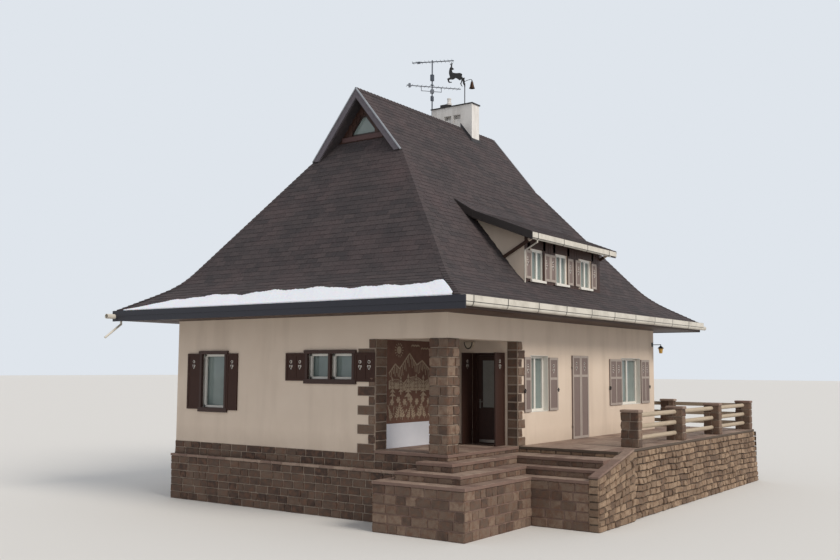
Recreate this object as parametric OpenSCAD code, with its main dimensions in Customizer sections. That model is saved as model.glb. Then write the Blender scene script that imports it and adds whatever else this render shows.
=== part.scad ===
// Alpine chalet with a steep hipped roof, a corner porch and a raised stone terrace, in millimetres.
// X runs along the entrance front to the right, Y runs back along the terrace side, Z is up.
// The base lies on Z = 0 and the middle of the front wall's foot is the origin.

/* [House] */
// Width of the house along the entrance front
body_w = 8250; // [7800:10:9000]
// Length of the house along the terrace side
body_l = 11180; // [10600:10:12300]
// Thickness of the outer walls
wall_t = 335; // [280:5:380]
// Height of the ground floor above the base
plinth_h = 1500; // [1200:10:1900]
// Thickness of the plinth's walls
plinth_t = 600; // [450:10:700]
// Height of the ground floor above the plinth's top
plinth_drop = 80; // [40:5:140]
// How far the footing stands out of the front
footing_out = 120; // [60:5:200]
// Height of the ground floor above the footing's top
footing_drop = 400; // [300:10:600]
// Height of the walls above the ground floor
wall_h = 2920; // [2700:10:3200]
// Thickness of the ground floor slab
floor_t = 220; // [150:5:300]
// Thickness of the upper floor
attic_t = 180; // [120:5:260]

/* [Roof] */
// Pitch of the two long slopes in degrees
roof_pitch = 51; // [48:0.5:54]
// Pitch of the roof's flared foot in degrees
kick_pitch = 30; // [26:0.5:34]
// Distance from the long eaves to where the slope turns steep
kick_side = 1050; // [900:10:1200]
// The same distance on the front slope
kick_front = 1120; // [950:10:1300]
// The same distance on the rear slope
kick_rear = 1490; // [1100:10:1600]
// Length over which the turn is rounded, each way
kick_round = 400; // [200:10:450]
// Overhang of the eaves beyond the end walls
eave_end = 1150; // [1000:10:1400]
// Overhang of the roof edge beyond the long walls, without the gutter
eave_side = 1030; // [900:10:1250]
// Vertical thickness of the slopes
roof_t = 300; // [220:10:340]
// Thickness of the roof at its edge
edge_t = 30; // [20:1:60]
// Height of the deep eaves board
fascia_h = 215; // [150:5:280]
// Thickness of the eaves boards
fascia_t = 30; // [20:1:50]
// Height of the small gables under the ridge
gable_h = 1770; // [1500:10:1900]
// Distance of the front gable's roof edge behind the front wall
verge_front = 2000; // [1800:10:2200]
// Distance of the rear gable's roof edge in front of the rear wall
verge_rear = 2430; // [2200:10:2600]
// Setback of the gable walls behind the roof edge
gable_set = 300; // [200:10:400]
// Height of the sloping edge boards
barge_h = 270; // [200:10:300]
// Depth of the eaves gutter
gutter_h = 205; // [160:5:215]
// Width of the eaves gutter
gutter_w = 122; // [100:2:150]
// How far the gutter's rounded part runs past the eaves
gutter_past = 260; // [150:10:320]

/* [Dormer] */
// Near end of the dormer's front wall
dormer_y0 = 3250; // [3100:10:3400]
// Length of the dormer's front wall
dormer_l = 4150; // [3900:10:4400]
// Height of the dormer's eaves above the main eaves
dormer_h = 1783; // [1700:10:1850]
// Pitch of the dormer's roof in degrees
dormer_pitch = 21.6; // [20:0.2:24]
// Pitch of the dormer roof's steeper top in degrees
dormer_top_pitch = 32; // [28:0.5:36]
// Distance from the dormer's eaves to where its roof turns steeper
dormer_bend = 1525; // [1300:10:1700]
// Vertical thickness of the dormer's roof
dormer_t = 180; // [120:5:200]
// Overhang of the dormer roof past its windows
dormer_eave = 350; // [250:10:420]
// Overhang of the dormer roof past its front side wall
dormer_over = 400; // [250:10:420]
// Overhang of the dormer roof past its rear side wall
dormer_over_rear = 300; // [250:10:400]
// Width of each dormer window
dormer_win_w = 640; // [560:5:680]
// Height of each dormer window
dormer_win_h = 790; // [700:5:800]
// Depth of the dormer's gutter
dormer_gutter_h = 155; // [120:5:170]
// Width of the dormer's gutter
dormer_gutter_w = 80; // [70:2:100]

/* [Porch] */
// Width of the porch
porch_w = 1880; // [1700:10:2100]
// Depth of the porch
porch_d = 2900; // [2700:10:3100]
// Height of the porch opening
porch_h = 2390; // [2300:10:2500]
// Width of the corner pier along the front
pier_x = 440; // [380:5:500]
// Width of the corner pier along the side
pier_y = 400; // [340:5:460]

/* [Doors and windows] */
// Clear width of the front doorway
door_w = 885; // [850:5:900]
// Height of the front doorway
door_h = 2130; // [2050:5:2200]
// Thickness of the front door
door_t = 45; // [38:1:52]
// Height of the foot of the front door's glass
door_light_z = 850; // [800:5:950]
// Height of the bar over the front door's glass
door_light_top = 180; // [140:5:220]
// Height of the front door's handle
handle_z = 980; // [950:5:1050]
// Height of the porch lamp over the doorway
porch_lamp_up = 255; // [220:5:280]
// Height of the lantern's foot above the floor
lantern_z = 2240; // [2150:10:2300]
// Width of the terrace doorway
tdoor_w = 890; // [840:5:920]
// Height of the terrace doorway
tdoor_h = 2100; // [2040:5:2200]
// Thickness of the shutters
leaf_t = 35; // [28:1:42]
// Width of the stiles and rails of shutters
stile_w = 60; // [45:1:80]
// Depth of the panels in shutters and doors
panel_in = 8; // [4:1:10]
// Width of the window frames
frame_w = 70; // [50:1:90]
// Depth of the window frames
frame_d = 80; // [60:1:100]
// Setback of the window frames in the walls
reveal = 130; // [90:5:150]
// Thickness of the glass
glass_t = 8; // [6:1:24]

/* [Steps] */
// Height of the top riser
riser_top = 135; // [120:5:180]
// Height of the other two risers
riser = 178; // [150:1:190]
// Thickness of the slabs on the treads
slab_t = 55; // [40:1:80]
// How far the slabs stand out over the risers
nosing = 25; // [10:1:40]

/* [Terrace] */
// Width of the terrace beside the house
terrace_w = 2400; // [2200:10:2800]
// Depth of the terrace past the rear wall
terrace_rear = 1670; // [1500:10:2100]
// Spread of the leaning wall at its foot
batter = 100; // [20:5:150]
// Height of the terrace posts
post_h = 840; // [780:10:900]
// Width of the terrace posts
post_w = 400; // [340:5:440]
// Thickness of the posts
post_d = 200; // [160:5:260]
// Distance of the first post from the terrace's front edge
post_in = 1215; // [1150:5:1300]
// Radius of the half-round rails
rail_r = 55; // [40:1:65]

/* [Chimney] */
// Width of the chimney across the ridge
chimney_w = 1430; // [1200:10:1500]
// Depth of the chimney along the ridge
chimney_d = 400; // [360:10:460]
// Height of the chimney's top above the ridge
chimney_up = 700; // [650:10:950]
// Height of the weather vane's pivot above the chimney's top
vane_up = 600; // [450:10:800]

/* [Hidden] */
hx = body_w / 2;
fz = plinth_h;
wz = fz + wall_h;
side_x = hx - wall_t;
porch_x = hx - porch_w;
edge_x = hx + eave_side;
edge_z = wz + fascia_h + edge_t;
ridge_z = edge_z + kick_side * tan(kick_pitch) + (edge_x - kick_side) * tan(roof_pitch);
gable_z = ridge_z - gable_h;
gable_x = gable_h / tan(roof_pitch);
// Steepness of the end slopes above their flared feet, from the turn to the foot of the gables
steep_front = (gable_z - edge_z - kick_front * tan(kick_pitch)) / (verge_front + eave_end - kick_front);
steep_rear = (gable_z - edge_z - kick_rear * tan(kick_pitch)) / (verge_rear + eave_end - kick_rear);
// Heights above the eaves at which the flared foot is faceted
flare_rises = [1200, 1000, 850, 700, 550, 400, 200, 0];
roof_levels = concat([[gable_x, verge_front, body_l - verge_rear, gable_z, roof_t]],
    [for (r = flare_rises) [edge_x - run(r, kick_side, tan(roof_pitch)),
        run(r, kick_front, steep_front) - eave_end,
        body_l + eave_end - run(r, kick_rear, steep_rear), edge_z + r,
        edge_t + (roof_t - edge_t) * min(r / flare_rises[1], 1)]]);
gable_wall_t = 100;
light_w = 860;
light_top_w = 180;
light_h = 480;
light_z = gable_z + 630;
barge_t = 40;
barge_up = 15;
sheet = 8;

dormer_y1 = dormer_y0 + dormer_l;
dormer_wall_t = 120;
dormer_x = hx + dormer_eave;
dormer_z = edge_z + dormer_h;
dormer_wins = [for (f = [0.075, 0.378, 0.711]) dormer_y0 + f * dormer_l];
dormer_sill = dormer_z - 1118;
sill_h = 55;
sill_out = 60;
brace_w = 60;
bend_x = dormer_x - dormer_bend;
bend_z = dormer_z + dormer_bend * tan(dormer_pitch);
gutter_drop = 50;
gutter_short = 150;
lip_h = 120;
spout_r = 27;
spout_y = 190;
spout_out = 280;
spout_fall = 490;
pipe_r = 18;
pipe_x = hx + 60;
pipe_y = 90;

door_x1 = side_x;
door_x0 = side_x - door_w;
tdoor_y0 = porch_d + 2770;
out_y = porch_d - 25;
ter_x = hx + 25;
pin_r = 6;
pin_h = 62;
lug_h = 15;
bore_r = 6.06;
eye_r = 12;
eye_h = 40;
hinge_gap = 8;
leaf_zs = [fz + 300, fz + 1780];
door_edge = 66;
door_ax = door_x1 - door_edge;
door_ay = porch_d + 228;
door_y = porch_d + 148;
door_stile = 120;

// Windows on each wall: left edge seen from outside, width, sill, height, sashes, left and right shutter
front_wins = [[-hx + 855, 925, 710, 1430, 1, 450, 375], [porch_x - 2004, 1429, 1445, 695, 2, 606, 565]];
right_wins = [[porch_d + 610, 890, 745, 1335, 2, 310, 455], [body_l - 2410, 1360, 770, 1310, 2, 805, 615]];
rear_wins = [[-2750, 1360, 745, 1335, 2, 680, 680], [1390, 1360, 745, 1335, 2, 680, 680]];
left_wins = [[-3660, 1360, 745, 1335, 2, 680, 680], [3880 - body_l - 1360, 1360, 745, 1335, 2, 680, 680]];
shutter_gap = 10;
casing_w = 60;
casing_run = 40;
lining_t = 12;

tx = hx + terrace_w;
ty0 = porch_d + 50;
ty1 = body_l + terrace_rear;
terrace_x0 = hx - 2800;
// How far each tread reaches out in front, to the left of the porch, to the side and towards the terrace
treads = [[360, 500, 340, 700], [700, 800, 760, 1050], [1040, 1100, 1070, 1400]];
cheek_w = 200;
cheek_in = 430;
cheek_fall = 0.24;
cap_h = 55;
cap_out = 15;
post_ys = [for (i = [0 : 3]) ty0 + post_in + i * floor((ty1 - ty0 - post_in - post_d - 40) / 3)];
post_xs = [terrace_x0 + 20, hx - 350];
post_out = tx - 20 - post_w;
rail_zs = [190, 450, 710];

chim_x0 = -1075;
chim_y0 = body_l - verge_rear - 1830;
chim_z = ridge_z + chimney_up;
cap_t = 30;
vent_w = 250;
vent_h = 240;
vent_d = 150;
vent_xs = [-625, -295];
mast_x = chim_x0 - 130;
mast_y = chim_y0 + chimney_d / 2;
mast_r = 20;
boom = 12;
// Boxes on the aerial's mast: half width, foot and top above the chimney
mast_boxes = [[32, 360, 510], [28, 845, 875], [45, 990, 1185]];
vane_x = -15;
vane_y = chim_y0 + 190;
vane_z = chim_z + vane_up;
vane_pin = 80;
bell_x = 255;
bell_z = 150;
$fn = 48;

// Run from the eaves to a point at rise r on a slope that turns from the kick pitch to steepness s.
// The turn is a parabola through three control points, so the run is the root of a quadratic.
function run(r, k, s) = let (
    low = tan(kick_pitch),
    ka = k - kick_round * cos(kick_pitch), kb = k + kick_round * cos(atan(s)),
    za = ka * low, zk = k * low, zb = zk + (kb - k) * s,
    qa = za - 2 * zk + zb, qb = 2 * (zk - za),
    t = (sqrt(max(qb * qb - 4 * qa * (za - r), 0)) - qb) / (2 * qa))
    r <= za ? r / low : r >= zb ? k + (r - zk) / s
        : (1 - t) * (1 - t) * ka + 2 * t * (1 - t) * k + t * t * kb;

// Moves the house so the middle of the front wall's foot is the origin
module place() { translate([0, -wall_t / 2, 0]) children(); }

// Box between two corners
module box(a, b) { translate(a) cube(b - a); }

// Prism with its outline in X and Z, running from y0 to y1
module prism_y(y0, y1) { translate([0, y1, 0]) rotate([90, 0, 0]) linear_extrude(y1 - y0) children(); }

// Prism with its outline in Y and Z, running from x0 to x1
module prism_x(x0, x1) { translate([x0, 0, 0]) rotate([90, 0, 90]) linear_extrude(x1 - x0) children(); }

// Flat ground plan between two corners
module plan(a, b) { translate(a) square(b - a); }

// Turns a wall's own frame to its place: x to the right seen from outside, y into the wall
module on_front() { children(); }
module on_right() { translate([hx, 0, 0]) rotate([0, 0, 90]) children(); }
module on_rear() { translate([0, body_l, 0]) rotate([0, 0, 180]) children(); }
module on_left() { translate([-hx, 0, 0]) rotate([0, 0, -90]) children(); }

// Openings of the windows in a list, cut through a wall
module window_holes(wins) {
    for (w = wins) box([w[0], -1, fz + w[2]], [w[0] + w[1], wall_t + 1, fz + w[2] + w[3]]);
}

// Ground works

module plinth() color("dimgray") place() difference() {
    union() {
        box([-hx, 0, 0], [hx, body_l, fz - plinth_drop]);
        box([-hx, -footing_out, 0], [hx - treads[2][1], 1, fz - footing_drop]);
    }
    box([plinth_t - hx, plinth_t, -1], [hx - plinth_t, body_l - plinth_t, fz]);
    box([wall_t - hx, wall_t, fz - floor_t], [side_x, body_l - wall_t, fz]);
    box([porch_x, -1, fz - floor_t], [hx + 1, porch_d, fz]);
}

module ground_floor() color("gray") place() {
    translate([0, 0, fz - floor_t]) linear_extrude(floor_t) {
        plan([wall_t - hx, wall_t], [side_x, body_l - wall_t]);
        plan([porch_x, 0], [hx, porch_d]);
    }
    translate([0, 0, fz - slab_t]) linear_extrude(slab_t) plan([porch_x, -nosing], [hx + nosing, porch_d]);
}

// Walls

module front_wall() color("wheat") place() difference() {
    box([-hx, 0, fz - plinth_drop], [porch_x, wall_t, wz]);
    on_front() window_holes(front_wins);
}

module left_wall() color("wheat") place() difference() {
    box([-hx, wall_t, fz - plinth_drop], [wall_t - hx, body_l - wall_t, wz]);
    on_left() window_holes(left_wins);
}

module rear_wall() color("wheat") place() difference() {
    box([-hx, body_l - wall_t, fz - plinth_drop], [hx, body_l, wz]);
    on_rear() window_holes(rear_wins);
}

module right_wall() color("wheat") place() difference() {
    union() {
        box([side_x, porch_d, fz - plinth_drop], [hx, tdoor_y0, wz]);
        box([side_x, tdoor_y0 + tdoor_w, fz - plinth_drop], [hx, body_l - wall_t, wz]);
    }
    on_right() window_holes(right_wins);
}

module porch_walls() color("wheat") place() translate([0, 0, fz]) linear_extrude(wall_h) {
    plan([porch_x - wall_t, wall_t], [porch_x, porch_d + wall_t]);
    plan([porch_x - 1, porch_d], [door_x0, porch_d + wall_t]);
}

module door_lintels() color("wheat") place() {
    box([door_x0, porch_d, fz + door_h], [door_x1, porch_d + wall_t, wz]);
    box([side_x, tdoor_y0, fz + tdoor_h], [hx, tdoor_y0 + tdoor_w, wz]);
    box([side_x, tdoor_y0, fz - plinth_drop], [hx, tdoor_y0 + tdoor_w, fz]);
}

module corner_pier() color("rosybrown") place()
    box([hx - pier_x, 0, fz], [hx, pier_y, fz + porch_h]);

module porch_beams() color("wheat") place() translate([0, 0, fz + porch_h]) linear_extrude(wall_h - porch_h) {
    plan([porch_x, 0], [hx, pier_y]);
    plan([hx - pier_x, 0], [hx, porch_d]);
}

module attic_floor() color("burlywood") place() difference() {
    box([-hx, 0, wz], [hx, body_l, wz + attic_t]);
    chimney_shaft();
}

// Roof

module eaves() color("#3b2a20") place() difference() {
    union() {
        box([-edge_x, -eave_end, wz], [edge_x, body_l + eave_end, wz + fascia_h]);
        for (x = [-edge_x - gutter_w - 8, edge_x])
            box([x, -eave_end, wz], [x + gutter_w + 8, fascia_t - eave_end, edge_z]);
    }
    box([fascia_t - edge_x, fascia_t - eave_end, wz + fascia_t],
        [edge_x - fascia_t, body_l + eave_end - fascia_t, wz + fascia_h + 1]);
    box([-hx, 0, wz - 1], [hx, body_l, wz + fascia_h]);
}

// Slab between four top corners and the same corners lowered by ta (first two) and tb (last two)
module slope(a, b, c, d, ta, tb) {
    polyhedron(
        [a, b, c, d, a - [0, 0, ta], b - [0, 0, ta], c - [0, 0, tb], d - [0, 0, tb]],
        [[0, 1, 2, 3], [7, 6, 5, 4], [1, 0, 4, 5], [2, 1, 5, 6], [3, 2, 6, 7], [0, 3, 7, 4]]);
}

// Half of the roof on the +X side: the strip under the ridge and the strips between the levels
module side_slope() {
    g = roof_levels[0];
    slope([0, g[1], ridge_z], [0, g[2], ridge_z], [g[0], g[2], g[3]], [g[0], g[1], g[3]], roof_t, roof_t);
    for (i = [0 : len(roof_levels) - 2]) {
        a = roof_levels[i];
        b = roof_levels[i + 1];
        slope([a[0], a[1], a[3]], [a[0], a[2], a[3]], [b[0], b[2], b[3]], [b[0], b[1], b[3]], a[4], b[4]);
    }
}

// Hipped end of the roof below the small gable. ys are its lines at the levels, s is 1 in front and
// -1 behind, steep is its rise for each unit of run. The last strip runs up under the side slopes.
module end_slope(ys, s, steep) {
    for (i = [0 : len(ys) - 2]) end_strip(roof_levels[i], roof_levels[i + 1], ys[i], ys[i + 1], s);
    top = gable_z + gable_set * steep;
    in_low = [under_x(gable_z), 0, 0, gable_z, roof_t];
    in_top = [under_x(top), 0, 0, top, roof_t];
    end_strip(in_top, in_low, ys[0] + s * gable_set, ys[0], s);
}

// Half width of the attic under the side slopes at height z
function under_x(z) = (ridge_z - roof_t - z) / tan(roof_pitch);

module end_strip(a, b, ya, yb, s)
    slope([-s * a[0], ya, a[3]], [s * a[0], ya, a[3]], [s * b[0], yb, b[3]], [-s * b[0], yb, b[3]], a[4], b[4]);

// Height of the +X slope's top at x between two levels of the flare
function foot_z(x) = [for (i = [1 : len(roof_levels) - 2]) let (a = roof_levels[i], b = roof_levels[i + 1])
    if (a[0] <= x && x < b[0]) a[3] + (b[3] - a[3]) * (x - a[0]) / (b[0] - a[0])][0];

// Everything below the top of the +X slope, to cut what stands on it
module below_slope() polygon(concat([[0, 0], [0, ridge_z]], [for (v = roof_levels) [v[0], v[3]]], [[edge_x, 0]]));

module roof_right() color("#3a3633") place() difference() {
    side_slope();
    chimney_shaft();
    box([dormer_top_x() + 2 * dormer_wall_t, dormer_y0 + dormer_wall_t, wz],
        [hx - dormer_wall_t, dormer_y1 - dormer_wall_t, dormer_z + dormer_h]);
    dormer_holes();
}

// Openings of the dormer's windows, which reach down past the slope's top inside the wall
module dormer_holes() {
    for (y = dormer_wins)
        box([hx - dormer_wall_t - 1, y, dormer_sill], [hx + 1, y + dormer_win_w, dormer_sill + dormer_win_h]);
}

module roof_left() color("#3a3633") place() difference() {
    mirror([1, 0, 0]) side_slope();
    chimney_shaft();
}

module roof_front() color("#3a3633") place() end_slope([for (v = roof_levels) v[1]], 1, steep_front);

module roof_rear() color("#3a3633") place() end_slope([for (v = roof_levels) v[2]], -1, steep_rear);

// Trapezium of the light in a small gable, grown by d
module gable_light(d) {
    a = light_w / 2 + d;
    b = light_top_w / 2 + d;
    polygon([[-a, light_z - d], [a, light_z - d], [b, light_z + light_h + d], [-b, light_z + light_h + d]]);
}

// Boarded wall of a small gable with its foot at height z, between y and y + gable_wall_t
module gable_wall(y, z) {
    prism_y(y, y + gable_wall_t) difference() {
        polygon([[-under_x(z), z], [under_x(z), z], [0, ridge_z - roof_t]]);
        gable_light(0);
    }
}

module gablet_walls() color("#4a3628") place() {
    gable_wall(verge_front + gable_set, gable_z + gable_set * steep_front - roof_t);
    gable_wall(body_l - verge_rear - gable_set - gable_wall_t, gable_z + gable_set * steep_rear - roof_t);
}

// Pair of sloping edge boards on a gable's roof edge, from y to y + barge_t
module barge_pair(y) {
    half = gable_x - edge_t;
    foot = gable_z + edge_t * tan(roof_pitch) + barge_up;
    prism_y(y, y + barge_t) polygon([[0, ridge_z + barge_up], [half, foot], [half - 60, foot - 40],
        [half - 190, foot - 40], [0, ridge_z + barge_up - barge_h], [190 - half, foot - 40],
        [60 - half, foot - 40], [-half, foot]]);
}

module bargeboards() color("#2c211a") place() {
    barge_pair(verge_front - barge_t);
    barge_pair(body_l - verge_rear);
}

// Dormer

// Height of the dormer roof's steeper top at x
function dormer_top(x) = bend_z + (bend_x - x) * tan(dormer_top_pitch);

// Where the dormer's roof meets the main slope
function dormer_top_x() = (ridge_z - bend_z - bend_x * tan(dormer_top_pitch))
    / (tan(roof_pitch) - tan(dormer_top_pitch));

// Outline of the dormer roof before the main slope cuts it, bent where it sweeps up to that slope
module dormer_slab() {
    x = dormer_top_x() - 2 * dormer_t;
    polygon([[x, dormer_top(x)], [bend_x, bend_z], [dormer_x, dormer_z], [dormer_x, dormer_z - dormer_t],
        [bend_x, bend_z - dormer_t], [x, dormer_top(x) - dormer_t]]);
}

// Outline of a dormer side wall, or of the front wall from x on, under the same line as the slab's underside
module dormer_side(x) intersection() {
    low = dormer_top_x() - 2 * dormer_t;
    polygon([[low, dormer_top(low) - dormer_t], [bend_x, bend_z - dormer_t], [dormer_x, dormer_z - dormer_t],
        [dormer_x, wz], [low, wz]]);
    plan([x, wz], [hx, ridge_z]);
}

module dormer_walls() color("#5a3d2a") place() difference() {
    union() {
        for (y = [dormer_y0, dormer_y1 - dormer_wall_t])
            prism_y(y, y + dormer_wall_t) dormer_side(dormer_top_x());
        prism_y(dormer_y0, dormer_y1) dormer_side(hx - dormer_wall_t);
        for (y = [dormer_y0 - brace_w, dormer_y1])
            prism_y(y, y + brace_w) difference() {
                translate([hx - 560, dormer_z - 575]) rotate(28) square([950, brace_w]);
                dormer_slab();
            }
    }
    prism_y(dormer_y0 - 2 * brace_w, dormer_y1 + 2 * brace_w) below_slope();
    dormer_holes();
}

module dormer_roof() color("#3a3633") place() prism_y(dormer_y0 - dormer_over, dormer_y1 + dormer_over_rear)
    difference() {
        dormer_slab();
        below_slope();
    }

// Gutter with a flat face and a rounded bottom, open on top, along Y from y0 to y1.
// x is its back against the board, z its top and w, h its width and depth.
module gutter(x, z, w, h, y0, y1) {
    translate([x, y1, z]) rotate([90, 0, 0]) linear_extrude(y1 - y0) difference() {
        trough(w, h, 0, 0);
        trough(w, h, sheet, 1);
    }
}

// Section of a trough set in by d on each side and raised by up
module trough(w, h, d, up) {
    translate([w / 2, w / 2 - h]) circle(w / 2 - d);
    translate([d, w / 2 - h]) square([w - 2 * d, h - w / 2 + up]);
}

// Eaves gutter on the +X side: the part behind the front board and its rounded end past the eaves
module eaves_gutter(y0, y1) {
    gutter(edge_x, edge_z, gutter_w, gutter_h, fascia_t - eave_end, body_l + eave_end);
    gutter(edge_x, edge_z - lip_h, gutter_w, gutter_h - lip_h, y0, y1);
}

// Straight pipe of radius r from a to b
module pipe(a, b, r) {
    d = b - a;
    translate(a) rotate([0, acos(d[2] / norm(d)), atan2(d[1], d[0])]) cylinder(r = r, h = norm(d));
}

// Pipe through the points of a list, with round elbows between the straight lengths
module piping(points, r) {
    for (i = [0 : len(points) - 2]) pipe(points[i], points[i + 1], r);
    for (i = [1 : 1 : len(points) - 2]) translate(points[i]) sphere(r + 3);
}

module gutters() color("silver") place() {
    eaves_gutter(body_l + eave_end - 1, body_l + eave_end + gutter_past);
    mirror([1, 0, 0]) eaves_gutter(-eave_end - gutter_past, -eave_end);
    bottom = edge_z - gutter_h + 14;
    mid = edge_x + gutter_w / 2;
    bends = [[spout_y, 0], [spout_y, 140], [-spout_out, spout_fall]];
    piping([for (v = bends) [-mid, v[0] - eave_end, bottom - v[1]]], spout_r);
    gutter(dormer_x, dormer_z - gutter_drop, dormer_gutter_w, dormer_gutter_h,
        dormer_y0 - dormer_over, dormer_y1 - gutter_short);
    low = dormer_z - gutter_drop - dormer_gutter_h + 12;
    out = dormer_x + dormer_gutter_w / 2;
    foot = foot_z(pipe_x - pipe_r);
    piping([for (v = [[out, low], [out, low - 60], [pipe_x, low - 230], [pipe_x, foot]])
        [v[0], dormer_y0 - pipe_y, v[1]]], pipe_r);
}

// Chimney, vane and aerial

module chimney_shaft() {
    box([chim_x0, chim_y0, fz], [chim_x0 + chimney_w, chim_y0 + chimney_d, chim_z]);
}

module chimney() color("gainsboro") place() difference() {
    chimney_shaft();
    for (x = vent_xs)
        for (y = [chim_y0 - 1, chim_y0 + chimney_d - vent_d + 1])
            box([x, y, chim_z - 2 * vent_h - 30], [x + vent_w, y + vent_d, chim_z - vent_h - 30]);
}

module chimney_cap() color("#3c3a3a") place() {
    box([chim_x0 - cap_t, chim_y0 - cap_t, chim_z],
        [chim_x0 + chimney_w + cap_t, chim_y0 + chimney_d + cap_t, chim_z + cap_t]);
    box([chim_x0 + 250, mast_y - 120, chim_z + cap_t - 1], [chim_x0 + 490, mast_y + 120, chim_z + 140]);
    translate([chim_x0 + 475, mast_y + 30, chim_z + cap_t - 1]) cylinder(r = 50, h = 300);
}

// Aerial boom through the mast at height z, turned by a, reaching from -l to r, with cross rods
module aerial_boom(z, a, l, r, rods) translate([mast_x, mast_y, z]) rotate([0, 0, a]) {
    box([-l, -boom, -boom], [r, boom, boom]);
    for (x = rods) translate([x, 0, 0]) rotate([90, 0, 0]) cylinder(r = 5, h = 300, center = true);
}

module aerial() color("silver") place() {
    translate([mast_x, mast_y, ridge_z - 300]) cylinder(r = mast_r, h = 2640);
    for (z = [ridge_z + 60, chim_z - 140])
        box([mast_x, mast_y - mast_r, z], [chim_x0, mast_y + mast_r, z + 30]);
    aerial_boom(chim_z + 1590, 24, 630, 670, [-600, -480, for (i = [0 : 8]) -330 + 120 * i]);
    aerial_boom(chim_z + 800, 49, 800, 910, [-780, -640, for (i = [0 : 10]) -480 + 130 * i]);
    translate([mast_x, mast_y, chim_z + 1590]) rotate([0, 0, 24]) box([-465, -30, -30], [-375, 30, 25]);
    translate([mast_x, mast_y, chim_z + 660]) rotate([0, 0, 49]) {
        box([-350, -8, -8], [300, 8, 8]);
        for (x = [-350, 284]) box([x, -8, -8], [x + 16, 8, 130]);
        box([-50, -50, -55], [50, 50, 55]);
        box([-740, -25, 80], [-680, 25, 205]);
    }
    for (v = mast_boxes) box([mast_x - v[0], mast_y - 45, chim_z + v[1]], [mast_x + v[0], mast_y + 45, chim_z + v[2]]);
}

module vane_rod() color("dimgray") place() translate([vane_x, vane_y, 0]) {
    translate([0, 0, chim_z + cap_t]) cylinder(r = 14, h = vane_up - cap_t);
    translate([0, 0, vane_z - 1]) cylinder(r = 7, h = vane_pin + 1);
}

// Leaping deer cut from sheet metal on a socket, with an arm behind it that carries the bell
module vane_figure() color("#2b2b2b") place() translate([vane_x, vane_y, vane_z]) difference() {
    union() {
        cylinder(r = 18, h = vane_pin + 30);
        translate([0, 5, 0]) rotate([90, 0, 0]) linear_extrude(10) {
            polygon([[3, 288], [-56, 286], [-104, 336], [-94, 409], [-125, 440], [-176, 461], [-240, 468],
                [-297, 476], [-390, 500], [-441, 528], [-464, 588], [-433, 602], [-388, 612], [-388, 626],
                [-433, 667], [-456, 690], [-452, 756], [-428, 818], [-441, 822], [-470, 760], [-476, 800],
                [-462, 843], [-474, 846], [-500, 805], [-520, 792], [-540, 795], [-528, 780], [-498, 770],
                [-500, 713], [-543, 661], [-563, 586], [-566, 500], [-545, 441], [-531, 382], [-585, 378],
                [-630, 356], [-594, 250], [-561, 221], [-470, 212], [-452, 229], [-545, 255], [-566, 310],
                [-500, 318], [-448, 297], [-387, 306], [-319, 332], [-236, 275], [-184, 230], [-116, 255],
                [-128, 190], [-160, 127], [-138, 78], [-90, 20], [-84, 40], [-112, 84], [-124, 127],
                [-96, 176], [-62, 210], [-70, 130], [-46, 80], [0, 24], [0, 160], [90, 181], [150, 188],
                [212, 185], [235, 172], [246, 150], [262, 150], [252, 184], [222, 199], [150, 202],
                [90, 195], [0, 176], [-14, 220], [-9, 254]]);
            translate([bell_x, bell_z]) circle(12);
        }
        translate([bell_x, 16, bell_z]) rotate([90, 0, 0]) cylinder(r = 4, h = 32);
    }
    translate([0, 0, -1]) cylinder(r = 7.08, h = vane_pin + 11);
}

module vane_bell() color("#6b4a2a") place() translate([vane_x + bell_x, vane_y, vane_z + bell_z]) difference() {
    union() {
        rotate_extrude() polygon([[0, -22], [24, -26], [36, -50], [50, -120], [62, -180], [86, -238],
            [77, -238], [53, -182], [41, -120], [27, -58], [0, -40]]);
        for (y = [-15.5, 10.5]) box([-9, y, -38], [9, y + 5, 10]);
        box([-9, -15.5, -40], [9, 15.5, -32]);
    }
    translate([0, 20, 0]) rotate([90, 0, 0]) cylinder(r = 4.06, h = 40);
}

// Windows, shutters and doors

// Frame of a window in its wall's own frame, with bars between the sashes in front of the glass
module frame(x, w, z, h, sashes, depth) translate([x, depth, z]) {
    difference() {
        cube([w, frame_d, h]);
        translate([frame_w, -1, frame_w]) cube([w - 2 * frame_w, frame_d + 2, h - 2 * frame_w]);
    }
    for (i = [1 : 1 : sashes - 1])
        translate([i * (w - frame_w) / sashes, 0, frame_w - 1]) cube([frame_w, frame_d / 2 - 5, h - 2 * frame_w + 2]);
}

module pane(x, w, z, h, depth)
    translate([x + frame_w, depth + frame_d / 2 - 3, z + frame_w]) cube([w - 2 * frame_w, glass_t, h - 2 * frame_w]);

// Dark outer casing in the mouth of a front window
module casing(w) translate([w[0], -casing_w / 2, fz + w[2]]) {
    difference() {
        cube([w[1], casing_w, w[3]]);
        translate([casing_w, -1, casing_w]) cube([w[1] - 2 * casing_w, casing_w + 2, w[3] - 2 * casing_w]);
    }
    for (i = [1 : 1 : w[4] - 1])
        translate([i * (w[1] - casing_w) / w[4], 0, casing_w - 1]) cube([casing_w, casing_w, w[3] - 2 * casing_w + 2]);
    for (z = [-35, w[3] - 35]) box([-casing_run, -15, z], [w[1] + casing_run, casing_w / 2, z + 45]);
}

module frames_of(wins) for (w = wins) frame(w[0], w[1], fz + w[2], w[3], w[4], reveal);

module panes_of(wins) for (w = wins) pane(w[0], w[1], fz + w[2], w[3], reveal);

// Frame or glass of the lights in both small gables, from y0 to y1 inside the wall
module gable_lights(y0, y1) {
    prism_y(verge_front + gable_set + y0, verge_front + gable_set + y1) children();
    prism_y(body_l - verge_rear - gable_set - y1, body_l - verge_rear - gable_set - y0) children();
}

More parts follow.
